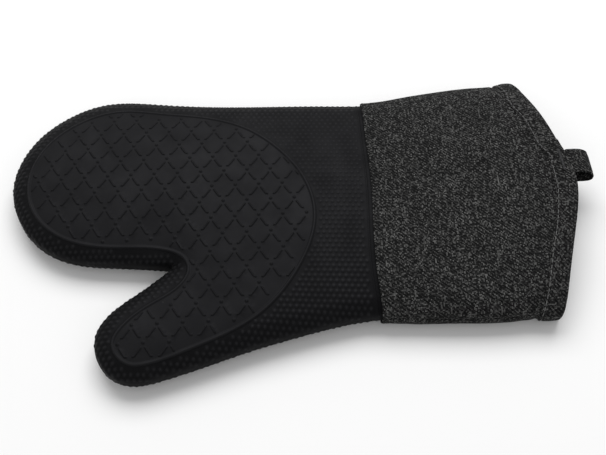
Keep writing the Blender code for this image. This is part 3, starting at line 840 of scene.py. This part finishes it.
def build_mitt(material):
    bumps, bump_d = bump_lattice()
    arms, studs = ridge_paths()
    rim_here, scale = rim_bumps(bumps, bump_d)
    flat_bumps = bumps[bump_d >= STRIP.reach]
    outline = strip_outline(2.0, 1.1)
    plan_fill = plan_marks(flat_bumps, arms, studs, np.vstack(ring_and_mouth(outline, 0.0)))

    def detail(flat, rise, level):
        return relief(flat, rise, level, flat_bumps, rim_here, arms, studs)

    outer, tris, loops, painted_light_tone = skin(
        outline, strip_marks(rim_here, scale), plan_fill, 0.0, 0, detail
    )
    # The inside of the silicone is plain and coarse. A wall joins it to the outside at the mouth.
    outline = strip_outline(7.0, 7.0)
    strip_fill = hex_grid(5.0, (3.0, 2.2), (STRIP.length - 3, STRIP.height - 2))
    plan_edge = np.vstack(ring_and_mouth(outline, SILICONE))
    grid = hex_grid(9.0, (-190, -110), (70, 105))
    plan_fill = thinned(grid[inside_of(plan_edge, grid)], plan_edge, 4.0)
    inner, inner_tris, inner_loops, _ = skin(outline, strip_fill, plan_fill, SILICONE, len(outer))
    wall = []
    for a, b, way in zip(loops, inner_loops, (-1, 1)):
        wall += [(a[i], a[i + 1], b[i + 1], b[i])[::way] for i in range(len(a) - 1)]
    obj = add_mesh("silicone_mitt", np.vstack([outer, inner]), tris + inner_tris + wall, material)
    # Painted light per point, as set in relief(): painted highlight on raised tops, painted shade
    # between bumps; the inside of the silicone gets a plain mid tone.
    painted_light_tones = np.concatenate([painted_light_tone, np.full(len(inner), 0.5)])
    obj.data.attributes.new("painted_light_tone", "FLOAT", "POINT").data.foreach_set("value", painted_light_tones)
    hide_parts("silicone_shell")
    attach(obj, "glove")


def even_stations(step):
    return np.linspace(0, STRIP.length, max(4, round(STRIP.length / step)) + 1)


def spread_strip(points, scale, gap):
    """Indices of strip points that keep a real gap from each other."""
    kept = []
    for i in np.argsort(-points[:, 1]):
        d = (points[kept] - points[i]) * [scale[i], 1]
        if not kept or np.hypot(d[:, 0], d[:, 1]).min() >= gap:
            kept.append(i)
    return np.array(kept)


def lip_marks():
    """Strip points along the moulded lip, where it goes round the rim."""
    marks = []
    line, t = STRIP.line, STRIP.t
    for y in (90.0, -60.0):
        half = t[:-1] < STRIP.length / 2
        ok = half if y > 0 else ~half
        for off in LIP_ROWS:
            x = front_x(y) - LIP_AHEAD + off
            i = int(np.where(ok, np.abs(line[:-1, 0] - x), 1e9).argmin())
            f = (x - line[i, 0]) / (line[i + 1, 0] - line[i, 0])
            for a in np.arange(0.8, STRIP.height - 0.5, 1.1):
                marks.append((t[i] + f * (t[i + 1] - t[i]), a))
    return np.array(marks)


def relief(flat, rise, level, flat_bumps, rim_here, arms, studs):
    """Height of the moulded detail at each point of a face, and its painted light tone: painted
    highlight on raised tops, painted shade between bumps.
    """
    plan = np.arange(len(level), len(flat))
    level = np.concatenate([level, np.full(len(plan), np.inf)])
    # Bumps on the rim are compared on the turned surface, the others in plan.
    p_rim, rise_rim = STRIP.plan(rim_here[:, 0], 0.0, rim_here[:, 1])
    rim_tree = tree_of(np.column_stack([p_rim, rise_rim * TURN_HEIGHT]))
    flat_tree = tree_of(flat_bumps)
    out = np.full(len(flat), FAR)
    for i, (x, y) in enumerate(flat):
        z = rise[i] * TURN_HEIGHT
        if z < TURN_HEIGHT - 0.1:
            out[i] = rim_tree.find((x, y, z))[2]
        if level[i] > STRIP.height - 1.3:
            out[i] = min(out[i], flat_tree.find((x, y, 0))[2])
    out = BUMP_RAISE * mound(out, BUMP_RADIUS, 1.6)
    gap = np.full(len(flat), FAR)
    for i in plan:
        _, k, far = BEAD_TREE.find((flat[i, 0], flat[i, 1], 0))
        if far < 4:
            ends = (BEAD[k - 1], BEAD[(k + 1) % len(BEAD)])
            gap[i] = min(point_to(flat[i], BEAD[k], end) for end in ends)
    out = np.maximum(out, BEAD_RAISE * mound(gap, BEAD_HALF, 1.6))
    grip = plan[inside_of(BEAD, flat[plan])]
    # Painted light: bump and bead tops get a pale tone as painted highlight, the ground between
    # bumps a dark one as painted shade; the grip keeps a mid tone, paler on the bead.
    painted_light_tone = np.clip(out / BUMP_RAISE, 0, 1)
    painted_light_tone[grip] = np.maximum(0.5, mound(gap[grip], BEAD_HALF))
    near = distance_to(arms, flat[grip])
    out[grip] = np.maximum(out[grip], RIDGE_RAISE * mound(near, RIDGE_HALF, 1.6))
    near = nearest(tree_of(studs), flat[grip])
    out[grip] = np.maximum(out[grip], STUD_RAISE * mound(near, STUD_RADIUS, 1.4))
    lip = np.abs(flat[:, 0] - front_x(flat[:, 1]) + LIP_AHEAD)
    return np.maximum(out, LIP_RAISE * mound(lip, LIP_HALF)), painted_light_tone


def point_to(p, a, b):
    d = b - a
    t = min(1.0, max(0.0, ((p - a) @ d) / (d @ d)))
    return math.hypot(*(p - a - t * d))


# ---- cloth: cuff, hem, loop and liner ----

DENIM_INSET = -2.0
DENIM_HEM_INSET = -1.3
HEM_OVERLAP = 1.6
CUFF_PLY = 0.8
HEM_PLY = 0.6
PLY_GAP = 0.15
STITCH_FROM_EDGE = 11.5
HEM_GROOVE = 15.2  # how far in the cuff dips before the hem
HEM_STITCH = (3.75, 3.0, 0.26)  # pitch, length and thread radius
STITCH_RINGS = 7
ROUND = 6  # points round a thread
FOLDS = [  # soft creases in the cuff: start, end, depth and half width
    ((128, 3), (156, 7.4), 0.75, 3.2), ((135, -30), (148, -27.5), 0.5, 2.6),
    ((127, -49.5), (141, -46.5), 0.55, 2.6), ((138, 40), (152, 33), 0.45, 2.8),
    ((112, -8), (133, -3), 0.3, 3.5), ((120, 62), (144, 57), 0.35, 3.0),
    ((131, -14), (150, -9), -0.35, 2.4), ((128, 84), (143, 78), 0.35, 2.6),
    ((110, -34), (136, -40), -0.3, 3.0), ((60, 20), (96, 26), 0.25, 4.5),
    ((58, -30), (88, -24), 0.22, 4.0), ((62, 66), (100, 60), 0.25, 4.0),
]
TURNS = np.radians([0, 4, 8, 13, 18, 24, 30, 37, 44, 52, 60, 70, 80, 90])


def mouth_edge(inset, x_line, turns, mid):
    """Plan points and rise across the mitt along x(y), from the thumb side to the index side."""
    points, rises = [], []
    for side in (-1, 1):
        y = np.full(len(turns), 20.0 * side)
        x = x_line(y)
        for _ in range(6):
            t = inset(np.column_stack([x, y]))
            y = side_y(x, side, t + (RIM_WIDTH - t) * (1 - np.cos(turns)))
            x = x_line(y)
        p = np.column_stack([x, y])
        points.append(p if side < 0 else p[::-1])
        rises.append(np.sin(turns) if side < 0 else np.sin(turns)[::-1])
    low, high = points[0][-1, 1], points[1][0, 1]
    y = np.linspace(low, high, mid + 2)[1:-1]
    span = np.column_stack([x_line(y), y])
    rise = np.concatenate([rises[0], np.ones(mid), rises[1]])
    return np.vstack([points[0], span, points[1]]), rise


def section(x_line, inset, upper, count, mid=60):
    """count points evenly over one face of the cuff along x(y), and how far along each lies."""
    edge, rise = mouth_edge(inset, x_line, TURNS, mid)
    line = np.column_stack([edge, face_z(edge, rise, inset(edge), upper)])
    line[[0, -1], 2] = PARTING
    along = lengths(line)
    at = np.linspace(0, along[-1], count)
    return at_lengths(at, along, line), at


def denim_inset(p):
    return DENIM_INSET + (DENIM_HEM_INSET - DENIM_INSET) * ramp((32 - from_hem(p)) / 16)


def grid_normals(grid, closed=False):
    """Unit normals of a grid of points; the columns of a closed one go round."""
    if closed:
        du = np.roll(grid, -1, axis=1) - np.roll(grid, 1, axis=1)
    else:
        du = np.gradient(grid, axis=1)
    return unit(np.cross(du, np.gradient(grid, axis=0)))


def waves(p, scale, seed):
    """Smooth seeded ripples over the plan, about -1 to 1."""
    rng = np.random.default_rng(seed)
    out = np.zeros(p.shape[:-1])
    for _ in range(7):
        turn = rng.uniform(0, math.pi)
        size = scale * rng.uniform(0.7, 1.5)
        way = np.array([math.cos(turn), math.sin(turn)]) * 2 * math.pi / size
        out += np.sin(p[..., 0] * way[0] + p[..., 1] * way[1] + rng.uniform(0, 6.3))
    return out / 4


def crease(p):
    out = np.zeros(p.shape[:-1])
    for a, b, depth, half in FOLDS:
        a, d = np.array(a, float), np.subtract(b, a)
        t = ((p[..., :2] - a) @ d) / (d @ d)
        r = np.linalg.norm(p[..., :2] - a - np.clip(t, 0, 1)[..., None] * d, axis=-1)
        out -= depth * np.exp(-((r / half) ** 2)) * np.clip(1.15 - np.abs(t - 0.75), 0, 1)
    return out


def gather(p, from_edge):
    """Small puckers square to the hem's stitching, strongest beside it."""
    y = p[..., 1]
    rng = np.random.default_rng(5)
    phase = np.interp(y, np.arange(-80, 130, 7.0), rng.uniform(-1.6, 1.6, 30))
    ripple = np.sin(2 * math.pi * y / 6.4 + phase) * (0.6 + 0.4 * np.sin(y / 9 + 1))
    return 0.3 * ripple * np.exp(-np.abs(from_edge - STITCH_FROM_EDGE) / 6.5)


def sheet_solid(name, outer, inner, uv, material, closed=False):
    """A thin closed solid from two grids of points, with weave coordinates in millimetres."""
    n = outer.shape[0] * outer.shape[1]
    ids = np.arange(n).reshape(outer.shape[:2])
    if closed:
        ids = np.hstack([ids, ids[:, :1]])
    a, b, c, d = ids[:-1, :-1], ids[:-1, 1:], ids[1:, 1:], ids[1:, :-1]
    faces = [np.stack([a, b, c, d], axis=-1).reshape(-1, 4)]
    faces += [np.stack([a, d, c, b], axis=-1).reshape(-1, 4) + n]
    sides = [(ids[0], 1), (ids[-1], 0)] + ([] if closed else [(ids[:, 0], 0), (ids[:, -1], 1)])
    for row, under in sides:
        start, end = row[:-1], row[1:]
        quad = [start + n, end + n, end, start] if under else [start, end, end + n, start + n]
        faces += [np.stack(quad, axis=-1)]
    verts = np.vstack([outer.reshape(-1, 3), inner.reshape(-1, 3)])
    obj = add_mesh(name, verts, np.vstack(faces).tolist(), material)
    lay_weave(obj, np.tile(uv.reshape(-1, 2), (2, 1)), closed)
    return obj


def lay_weave(obj, uv, closed=False):
    """Weave coordinates, given per vertex in millimetres; a closed sheet's run on over its join."""
    layer = obj.data.uv_layers.new(name="weave")
    index = np.zeros(len(obj.data.loops), dtype=np.int64)
    obj.data.loops.foreach_get("vertex_index", index)
    corners = uv[index]
    if closed:
        run = corners.reshape(-1, 4, 2)[..., 1]
        whole = uv[:, 1].max() + 0.5
        joins = run.max(axis=1) - run.min(axis=1) > whole / 2
        run[joins] = np.where(run[joins] < whole / 2, run[joins] + whole, run[joins])
    layer.data.foreach_set("uv", (corners * MM).astype(np.float32).ravel())


def build_cuff_panel(upper, material):
    rows, cols = 92, 176
    way = 1 if upper else -1
    grid, run = [], []
    for share in np.linspace(0, 1, rows):
        pts, at = section(
            lambda y, s=share: front_x(y) + (hem_x(y) - HEM_OVERLAP - front_x(y)) * s,
            denim_inset, upper, cols,
        )
        grid.append(pts)
        run.append(at - at[-1] / 2)
    grid = np.array(grid)
    front = lengths_down(grid)
    uv = np.stack([np.array(run), front], axis=-1)
    n = grid_normals(grid)
    n *= np.sign(n[rows // 2, cols // 2, 2]) * way
    out = crease(grid if upper else grid * [1, -1, 1] + [0, 34, 0])
    out = out + 0.3 * waves(grid, 42.0, 3 if upper else 4) + 0.08 * waves(grid, 11.0, 8)
    back = from_hem(grid.reshape(-1, 3)).reshape(rows, cols)
    slip = stitch_wander(grid[..., 1], upper)
    out = out + gather(grid, back) - 0.7 * mound(np.abs(back - slip - HEM_GROOVE), 2.4)
    edge = np.minimum(np.arange(cols), np.arange(cols)[::-1]) * np.ptp(run[0]) / cols
    seam = mound(edge, 2.2)
    out = out * (1 - seam) - 0.75 * seam
    out = out - 0.45 * mound(front, 0.9) - 0.16 * mound(front - 6.2, 1.0) * (front > 2)
    out = out * (1 - ramp((14.5 + slip - back) / 2.5))
    outer = grid + n * np.clip(out, -0.75, 0.9 if upper else 0.7)[..., None]
    inner = outer - n * CUFF_PLY
    for face in (outer, inner):
        face[..., 2] += PLY_GAP * way
    outer[..., 2] = np.maximum(outer[..., 2], 0.35)
    if not upper:
        uv = uv + [251.0, 37.0]  # so the two faces' weaves don't mirror each other at the sides
    name = "denim_palm_cuff" if upper else "denim_back_cuff"
    obj = sheet_solid(name, outer[:, ::way], inner[:, ::way], uv[:, ::way], material)
    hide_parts("cuff_palm_panel" if upper else "cuff_back_panel")
    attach(obj, "glove")


def lengths_down(grid):
    """Distance down each column of a grid from its first row."""
    d = np.linalg.norm(np.diff(grid, axis=0), axis=2)
    return np.vstack([np.zeros(grid.shape[1]), np.cumsum(d, axis=0)])


def hem_ring(w, inset, count):
    """count points round the cuff, w in from its edge, how far along, and which are on top."""
    faces = [
        section(
            lambda y: hem_x(y) - w, lambda p: np.full(len(p), float(inset)), upper,
            count // 2 + 1,
        )
        for upper in (True, False)
    ]
    (over, at), (under, low) = faces
    ring = np.vstack([over[:-1], under[::-1][:-1]])
    return ring, np.concatenate([at[:-1], at[-1] + low[:-1]]), np.arange(count) < count // 2


def stitch_wander(y, upper):
    """How far in the hem's stitching lies from its even line."""
    swell = 1.3 * np.exp(-(((y - 27) / 10) ** 2)) - 2.2 * np.exp(-(((y - 41) / 3.5) ** 2))
    slope = 1.6 * ramp((y - 46) / 8) + 1.0 * ramp((y - 74) / 10) - 3.2 * ramp((y - 91) / 9)
    even = 0.35 * np.sin(y / 17.0 + np.where(upper, 0, 2)) + 0.2 * np.sin(y / 6.1)
    return even + np.where(upper, swell + slope, 0)


HEM_COUNT = 420
HEM_PROFILE = [  # distance in from the hem's edge, and inset of the binding's outside there
    (13.2, -1.55), (13.0, -1.95), (12.4, -2.15), (11.9, -1.95), (11.5, -1.72), (11.1, -1.95),
    (10.5, -2.25), (9.2, -2.4), (7.8, -2.5), (6.3, -2.55), (4.8, -2.5), (3.4, -2.4), (2.0, -2.3),
    (1.0, -2.12), (0.2, -1.8), (-0.35, -1.2), (-0.6, -0.45), (-0.5, 0.35), (-0.1, 1.0),
    (0.6, 1.5), (1.8, 1.72), (3.6, 1.8), (6.0, 1.8), (8.4, 1.75), (10.4, 1.6), (11.5, 1.35),
    (12.3, 1.55), (12.8, 1.5),
]


def build_hem(material):
    """The binding: a folded strip round the mouth, slightly full between its edge and stitching."""
    rings, uv, puffs = [], [], []
    run = lengths(np.array(HEM_PROFILE))
    for k, (w, t) in enumerate(HEM_PROFILE):
        ring, along, upper = hem_ring(w, t, HEM_COUNT)
        y = ring[:, 1]
        outside = t < -0.45
        full = max(0.0, 1 - ((w - 6.0) / 6.0) ** 2)
        puff = gather(ring, np.full(HEM_COUNT, w)) * (0.9 if outside else 0.5)
        puff = puff + 0.16 * full * waves(ring[:, :2], 15.0, 21)
        lap = ramp((y - 35.4) / 0.7) * ramp((55.6 - y) / 0.7) * upper
        puff = puff + 0.5 * lap * ramp((9.2 - w) / 0.6) * outside
        if w > 9:
            ring[:, 0] -= stitch_wander(y, upper)
        rings.append(ring)
        puffs.append(puff * np.where(upper, 1.0, 0.6))
        uv.append(np.column_stack([np.full(HEM_COUNT, run[k]), along]))
    grid = np.array(rings)
    n = grid_normals(grid, closed=True)
    n *= np.sign(n[0, HEM_COUNT // 4, 2])
    outer = grid + n * np.array(puffs)[..., None]
    inner = outer - n * HEM_PLY
    outer[..., 2] = np.maximum(outer[..., 2], 0.05)
    obj = sheet_solid("denim_hem", outer, inner, np.array(uv), material, closed=True)
    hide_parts("hem_binding")
    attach(obj, "glove")


def round_points(mid, size, side, up, turn):
    """Rings of points round the points of a thread."""
    turn = np.arange(ROUND) * 2 * math.pi / ROUND + np.reshape(turn, (-1, 1))
    ring = np.cos(turn)[..., None] * side[:, None] + np.sin(turn)[..., None] * up[:, None]
    return (mid[:, None] + np.reshape(size, (-1, 1, 1)) * ring).reshape(-1, 3)


def round_faces(rings, base=0):
    """Faces of a thread of some rings of points, with its ends."""
    faces = []
    last = base + ROUND * (rings - 1)
    for p in range(base, last, ROUND):
        for a in range(ROUND):
            b = (a + 1) % ROUND
            faces.append((p + a, p + b, p + ROUND + b, p + ROUND + a))
    return faces + [tuple(range(base, base + ROUND))[::-1], tuple(range(last, last + ROUND))]


def stitches(lines, pitch, long, radius):
    """Separate stitches along lines with normals: short threads that dip in at their ends."""
    verts, faces = [], []
    s = np.linspace(-1, 1, STITCH_RINGS)
    size = radius * np.sqrt(np.clip(1 - 0.55 * np.abs(s) ** 5, 0, 1))
    twist = np.arange(STITCH_RINGS) * 0.35
    for line, normal in lines:
        along = lengths(line)
        for k in range(int(along[-1] / pitch)):
            at = np.linspace(k * pitch + 0.3, k * pitch + 0.3 + long, STITCH_RINGS)
            n = unit(at_lengths(at, along, normal))
            mid = at_lengths(at, along, line) + n * (radius * (0.75 - 1.5 * s**4))[:, None]
            t = unit(np.gradient(mid, axis=0))
            side = unit(np.cross(t, n))
            faces += round_faces(STITCH_RINGS, STITCH_RINGS * ROUND * len(verts))
            verts.append(round_points(mid, size, side, np.cross(side, t), twist))
    return np.vstack(verts), faces


def hem_stitch_line(inset, count=700):
    """The sewing's path round the cuff, on the binding at the given inset, and its normals."""
    ring, _, upper = hem_ring(STITCH_FROM_EDGE, inset, count)
    ring[:, 0] -= stitch_wander(ring[:, 1], upper)
    tangent = unit(np.roll(ring, -1, axis=0) - np.roll(ring, 1, axis=0))
    face = unit(np.cross(tangent, [1.0, 0, 0] - tangent[:, :1] * tangent))
    face[((ring - ring.mean(0)) * face).sum(1) < 0] *= -1
    return ring, face


def build_hem_stitches(material):
    for name, inset, way, node in (
        ("hem_stitches", -1.78, 1, "hem_top_thread"),
        ("hem_stitches_inside", 1.42, -1, "hem_lower_thread"),
    ):
        line, face = hem_stitch_line(inset)
        obj = add_mesh(name, *stitches([(line, way * face)], *HEM_STITCH), material)
        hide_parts(node)
        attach(obj, "glove")


# ---- hanging loop ----


def loop_line():
    """The strap's centre line as (out, up) from the hem: it droops to a fold and comes back."""
    reach, foot, root = LOOP_OUT - 0.6, LOOP_DROP, -0.6
    points = [(root + 0.2, 0.1)]
    points += [(reach * out, -foot * down) for out, down in LOOP_SHAPE]
    points += [(root + 2.4, 0.6 - foot), (root + 1.3, 3 - foot)]
    points += [(root + 0.8, -foot / 2), (root + 0.4, -foot / 5)]
    return np.array(points)


def build_loop(material):
    line = loop_line()
    line = evenly(np.vstack([line, line[:1]]), 0.8)[:-1]
    for _ in range(3):
        line = (np.roll(line, 1, axis=0) + 2 * line + np.roll(line, -1, axis=0)) / 4
    off = sideways(line, closed=True)
    off *= np.sign(((line - line.mean(0)) * off).sum())
    # Cross section of the strap: two plies with soft edges and a stitched channel near each.
    half = LOOP_WIDTH / 2
    lip = half - np.array([0, 0.12, 0.45])
    ys = np.concatenate([-lip, np.linspace(1 - half, half - 1, 23), lip[::-1]])
    edge = half - np.abs(ys)
    thick = 0.6 * np.sqrt(np.clip(1 - (1 - np.minimum(edge / 0.6, 1)) ** 2, 0.02, 1))
    thick = thick - 0.16 * mound(edge - 2.2, 0.7)
    along = lengths(line)
    plies, uv = ([], []), []
    for y, full in zip(ys, thick):
        for ply, sign in zip(plies, (1, -1)):
            q = line + off * ((full + 0.03 * np.sin(along / 1.9)) * sign)[:, None]
            q[:, 1] += 0.35 * math.sin(math.pi * (y / LOOP_WIDTH)) * (line[:, 0] / LOOP_OUT)
            xy = LOOP_AT + LOOP_DIR * q[:, :1] + LOOP_ALONG * y
            ply.append(np.column_stack([xy, LOOP_Z + q[:, 1]]))
        uv.append(np.column_stack([np.full(len(line), y), along]))
    outer, inner = np.array(plies[0]), np.array(plies[1])
    obj = sheet_solid("denim_loop", outer, inner, np.array(uv), material, closed=True)
    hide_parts("hanging_loop")
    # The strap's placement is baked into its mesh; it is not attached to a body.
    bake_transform(obj)


def build_bartack(material):
    """Close stitching across the loop's root, on the lap of the hem."""
    marks, line = [], []
    for i in range(34):
        side = (i / 33 - 0.5) * 0.92 * LOOP_WIDTH
        marks.append(LOOP_AT - LOOP_DIR * (4.6 + 1.5 * (i % 2)) + LOOP_ALONG * side)
    for a, b in zip(marks[:-1], marks[1:]):
        for t in (0.0, 0.25, 0.5, 0.75):
            p = a * (1 - t) + b * t
            z = surface(p[None], -2.5, True)[0] + 0.55 + 0.12 * math.sin(math.pi * t)
            line.append([p[0], p[1], z])
    line = np.array(line)
    t = unit(np.gradient(line, axis=0))
    n = unit(np.cross(t, [0.0, 0, 1]))
    verts = round_points(line, BARTACK_RADIUS, n, np.cross(t, n), 0.0)
    obj = add_mesh("bartack", verts, round_faces(len(line)), material)
    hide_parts("loop_bartack")
    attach(obj, "glove")


# ---- liner ----

QUILT_STEP = 22
QUILT_ROWS = np.arange(-48, 84, QUILT_STEP)
QUILT_STITCH = (3.6, 2.9, 0.22)  # as the hem's
# Insets of a layer's two faces, nearer the silicone first: in the hand, in the cuff, at the hem.
WADDING = ((2.6, 4.2), (0.2, 2.0), (0.2, 2.0))
LINING = ((4.6, 5.1), (2.6, 3.1), (0.0, 0.5))
TAPE = (7.5, 7.0)  # insets of its two faces
TAPE_HALF = 1.25
TAPE_STOP = 22.0  # how far it ends from the hem


def liner_inset(hand, cuff, hem):
    def inset(p):
        t = hand + (cuff - hand) * ramp((p[:, 0] - FLANGE_END - 3) / 15)
        return t + (hem - cuff) * ramp((31 - from_hem(p)) / 16)

    return inset


def liner_points(inset, stop, step):
    """Plan points of a liner face: rings round the rim, the mouth's edge and a grid inside."""
    base = plan_line(step)
    t = inset(base)
    turns = np.radians([0, 22, 45, 66])
    rings = []
    for turn in turns:
        ring = base + sideways(base) * (t + (RIM_WIDTH - t) * (1 - math.cos(turn)))[:, None]
        rings.append(ring[from_hem(ring) > stop + 0.3 * step])
    edge, _ = mouth_edge(inset, lambda y: hem_x(y) - stop, turns, round(150 / step))
    top = (1 - math.cos(turns[-1])) * RIM_WIDTH
    near = spread(np.vstack(rings[1:]), 0.5 * step)
    grid = hex_grid(step, (-185, -105), (175, 120))
    grid = grid[(rim_distance(grid) > top + 0.6 * step) & (from_hem(grid) > stop + 0.5 * step)]
    boundary = np.vstack([rings[0], edge])
    inside = np.vstack([near, thinned(grid, near, 0.5 * step)])
    inside = thinned(inside, boundary, 0.3 * step)
    inside = inside[inside_of(boundary, inside)]
    tris = triangulate(boundary, inside)
    return np.vstack([boundary, inside]), tris, len(rings[0]), len(boundary)


def quilt(p):
    """Puffs between the rows of quilting: 1 at a row's middle, nothing at its stitches."""
    gap = np.abs(((p[:, 1] - QUILT_ROWS[0]) / QUILT_STEP) % 1 - 0.5) * 2
    cross = 0.5 + 0.5 * np.cos(2 * math.pi * (p[:, 0] + 0.25 * p[:, 1]) / 9.5)
    puff = (1 - gap**6) * np.sqrt(np.clip(1 - gap**2, 0, 1))
    puff = puff * (1 - 0.18 * mound(1 - gap, 0.35) * cross)
    return puff * ramp((rim_distance(p) - 7) / 8) * ramp((from_hem(p) - 15) / 8)


def build_liner_face(name, layers, stop, upper, material, step, puffs, node):
    outer, inner = (liner_inset(*side) for side in zip(*layers))
    points, tris, n_ring, n_edge = liner_points(inner, stop, step)
    n = len(points)
    rim = np.arange(n) <= n_ring
    rim[n_edge - 1] = True
    way = 1 if upper else -1
    t = inner(points)
    low = surface(points, t, upper, FLOOR_LIFT * 0.5)
    low[rim] = PARTING
    high = low + way * (np.abs(outer(points) - t) - puffs[0] * quilt(points))
    high[rim] = PARTING + 0.3 * way
    low = low - way * puffs[1] * quilt(points)
    verts = np.vstack([np.column_stack([points, z + PLY_GAP * way]) for z in (high, low)])
    faces = [tri[::way] for tri in tris]
    faces += [tuple(i + n for i in tri[::-way]) for tri in tris]
    for i in range(n_edge):
        j = (i + 1) % n_edge
        faces.append((i, j, j + n, i + n)[::-way])
    obj = add_mesh(name, verts, faces, material)
    lay_weave(obj, np.tile(points, (2, 1)))
    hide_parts(node)
    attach(obj, "glove")
    return obj


def build_liner(cotton, wadding, thread):
    for side, upper in (("palm", True), ("back", False)):
        pad = build_liner_face(
            side + "_quilted_wadding", WADDING, 34.0, upper, wadding, 6.0, (0.25, 0.7),
            side + "_wadding",
        )
        lining = build_liner_face(
            side + "_quilted_lining", LINING, 1.6, upper, cotton, 3.2, (1.5, 1.5),
            side + "_lining",
        )
        quilt_stitches(side, upper, thread)


def quilt_stitches(side, upper, thread):
    """Stitches in the valleys between the lining's puffs."""
    lines = []
    way = 1 if upper else -1
    for y in QUILT_ROWS:
        x = np.arange(132, -165, -1.5)
        p = np.column_stack([x, np.full(len(x), float(y))])
        p = p[rim_distance(p) > 12.5]
        t = liner_inset(*(pair[1] for pair in LINING))(p)
        z = surface(p, t, upper, FLOOR_LIFT * 0.5) + PLY_GAP * way
        lines.append((np.column_stack([p, z]), np.tile([0.0, 0, -way], (len(p), 1))))
    obj = add_mesh(side + "_quilting_stitches", *stitches(lines, *QUILT_STITCH), thread)
    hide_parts(side + "_quilting_thread")
    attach(obj, "glove")


def build_tape(material):
    """Soft tape over the lining's seam, inside the hand space."""
    base = plan_line(2.5)
    keep = from_hem(base) > TAPE_STOP
    normal = sideways(base)[keep]
    base = base[keep]
    less = LINING[1][1] - LINING[0][1]
    shift = liner_inset(0.0, less, less)(base)
    along = lengths(base)
    v = np.linspace(-TAPE_HALF, TAPE_HALF, 7)[:, None] * np.ones(len(base))
    curl = 0.25 * (v / TAPE_HALF) ** 2 + 0.05 * np.sin(along / 3.1)
    outer, inner = (
        np.dstack([base + normal * (t + shift - curl)[..., None], PARTING + v]) for t in TAPE
    )
    uv = np.stack([np.broadcast_to(along, v.shape), v], axis=-1)
    obj = sheet_solid("lining_seam_tape", outer, inner, uv, material)
    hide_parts("liner_seam_tape")
    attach(obj, "glove")


# ---- floor, light and camera ----

ELEVATION = 58  # degrees above the floor
DISTANCE = 557.0
LENS = 52.57426
AIM_Y = -0.97
FLOOR_HALF = 6.0  # metres
WORLD_LIGHT = 0.45
SOFTBOX_WATTS = 56
FILL_WATTS = 6


def build_stage():
    scene = bpy.context.scene
    tilt = math.radians(ELEVATION)
    data = bpy.data.cameras.new("camera")
    data.sensor_width = 36
    data.lens = LENS
    data.clip_start = 0.01
    camera = bpy.data.objects.new("camera", data)
    way = np.array([0, -math.cos(tilt), math.sin(tilt)])
    camera.location = to_row([0, AIM_Y, PARTING]) + way * DISTANCE * MM
    camera.rotation_euler = (math.pi / 2 - tilt, 0, 0)
    scene.collection.objects.link(camera)
    scene.camera = camera
    paper = Nodes("floor", 0.9, 0.1)
    paper.set("Base Color", (0.93, 0.93, 0.93, 1))
    mesh = bpy.data.meshes.new("floor")
    s = FLOOR_HALF
    mesh.from_pydata([(-s, -s, 0), (s, -s, 0), (s, s, 0), (-s, s, 0)], [], [(0, 1, 2, 3)])
    mesh.materials.append(paper.mat)
    floor = bpy.data.objects.new("floor", mesh)
    scene.collection.objects.link(floor)
    world = bpy.data.worlds.new("studio")
    world.use_nodes = True
    background = world.node_tree.nodes["Background"]
    background.inputs["Color"].default_value = (1, 1, 1, 1)
    background.inputs["Strength"].default_value = WORLD_LIGHT
    scene.world = world
    area("back_softbox", (0.0, 1.5, 2.0), (2.6, 1.6), SOFTBOX_WATTS)
    area("front_fill", (-0.6, -1.8, 2.0), (1.6, 1.6), FILL_WATTS)
    scene.view_settings.view_transform = "Standard"


def area(name, at, size, watts):
    """A soft lamp that faces the frame's origin."""
    data = bpy.data.lights.new(name, "AREA")
    data.shape = "RECTANGLE"
    data.size, data.size_y = size
    data.energy = watts
    lamp = bpy.data.objects.new(name, data)
    lamp.location = at
    lamp.rotation_euler = (-Vector(at)).to_track_quat("-Z", "Y").to_euler()
    bpy.context.scene.collection.objects.link(lamp)


# ---- everything ----

SILICONE_LOOK = silicone_material()
DENIM_LOOK = denim_material()
THREAD_LOOK = thread_material("grey_thread", (0.085, 0.085, 0.085), (0.2, 0.2, 0.197))
DARK_THREAD = thread_material("dark_thread", (0.03, 0.03, 0.032), (0.08, 0.08, 0.082))
COTTON = cotton_material()
build_mitt(SILICONE_LOOK)
build_cuff_panel(True, DENIM_LOOK)
build_cuff_panel(False, DENIM_LOOK)
build_hem(DENIM_LOOK)
build_hem_stitches(THREAD_LOOK)
build_loop(DENIM_LOOK)
build_bartack(DARK_THREAD)
build_liner(COTTON, wadding_material(), THREAD_LOOK)
build_tape(COTTON)
for name in ("cuff_front_seam_thread", "index_side_seam_thread", "thumb_side_seam_thread"):
    node = frame["nodes"][name]
    node.data.materials.clear()
    node.data.materials.append(DARK_THREAD)
build_stage()
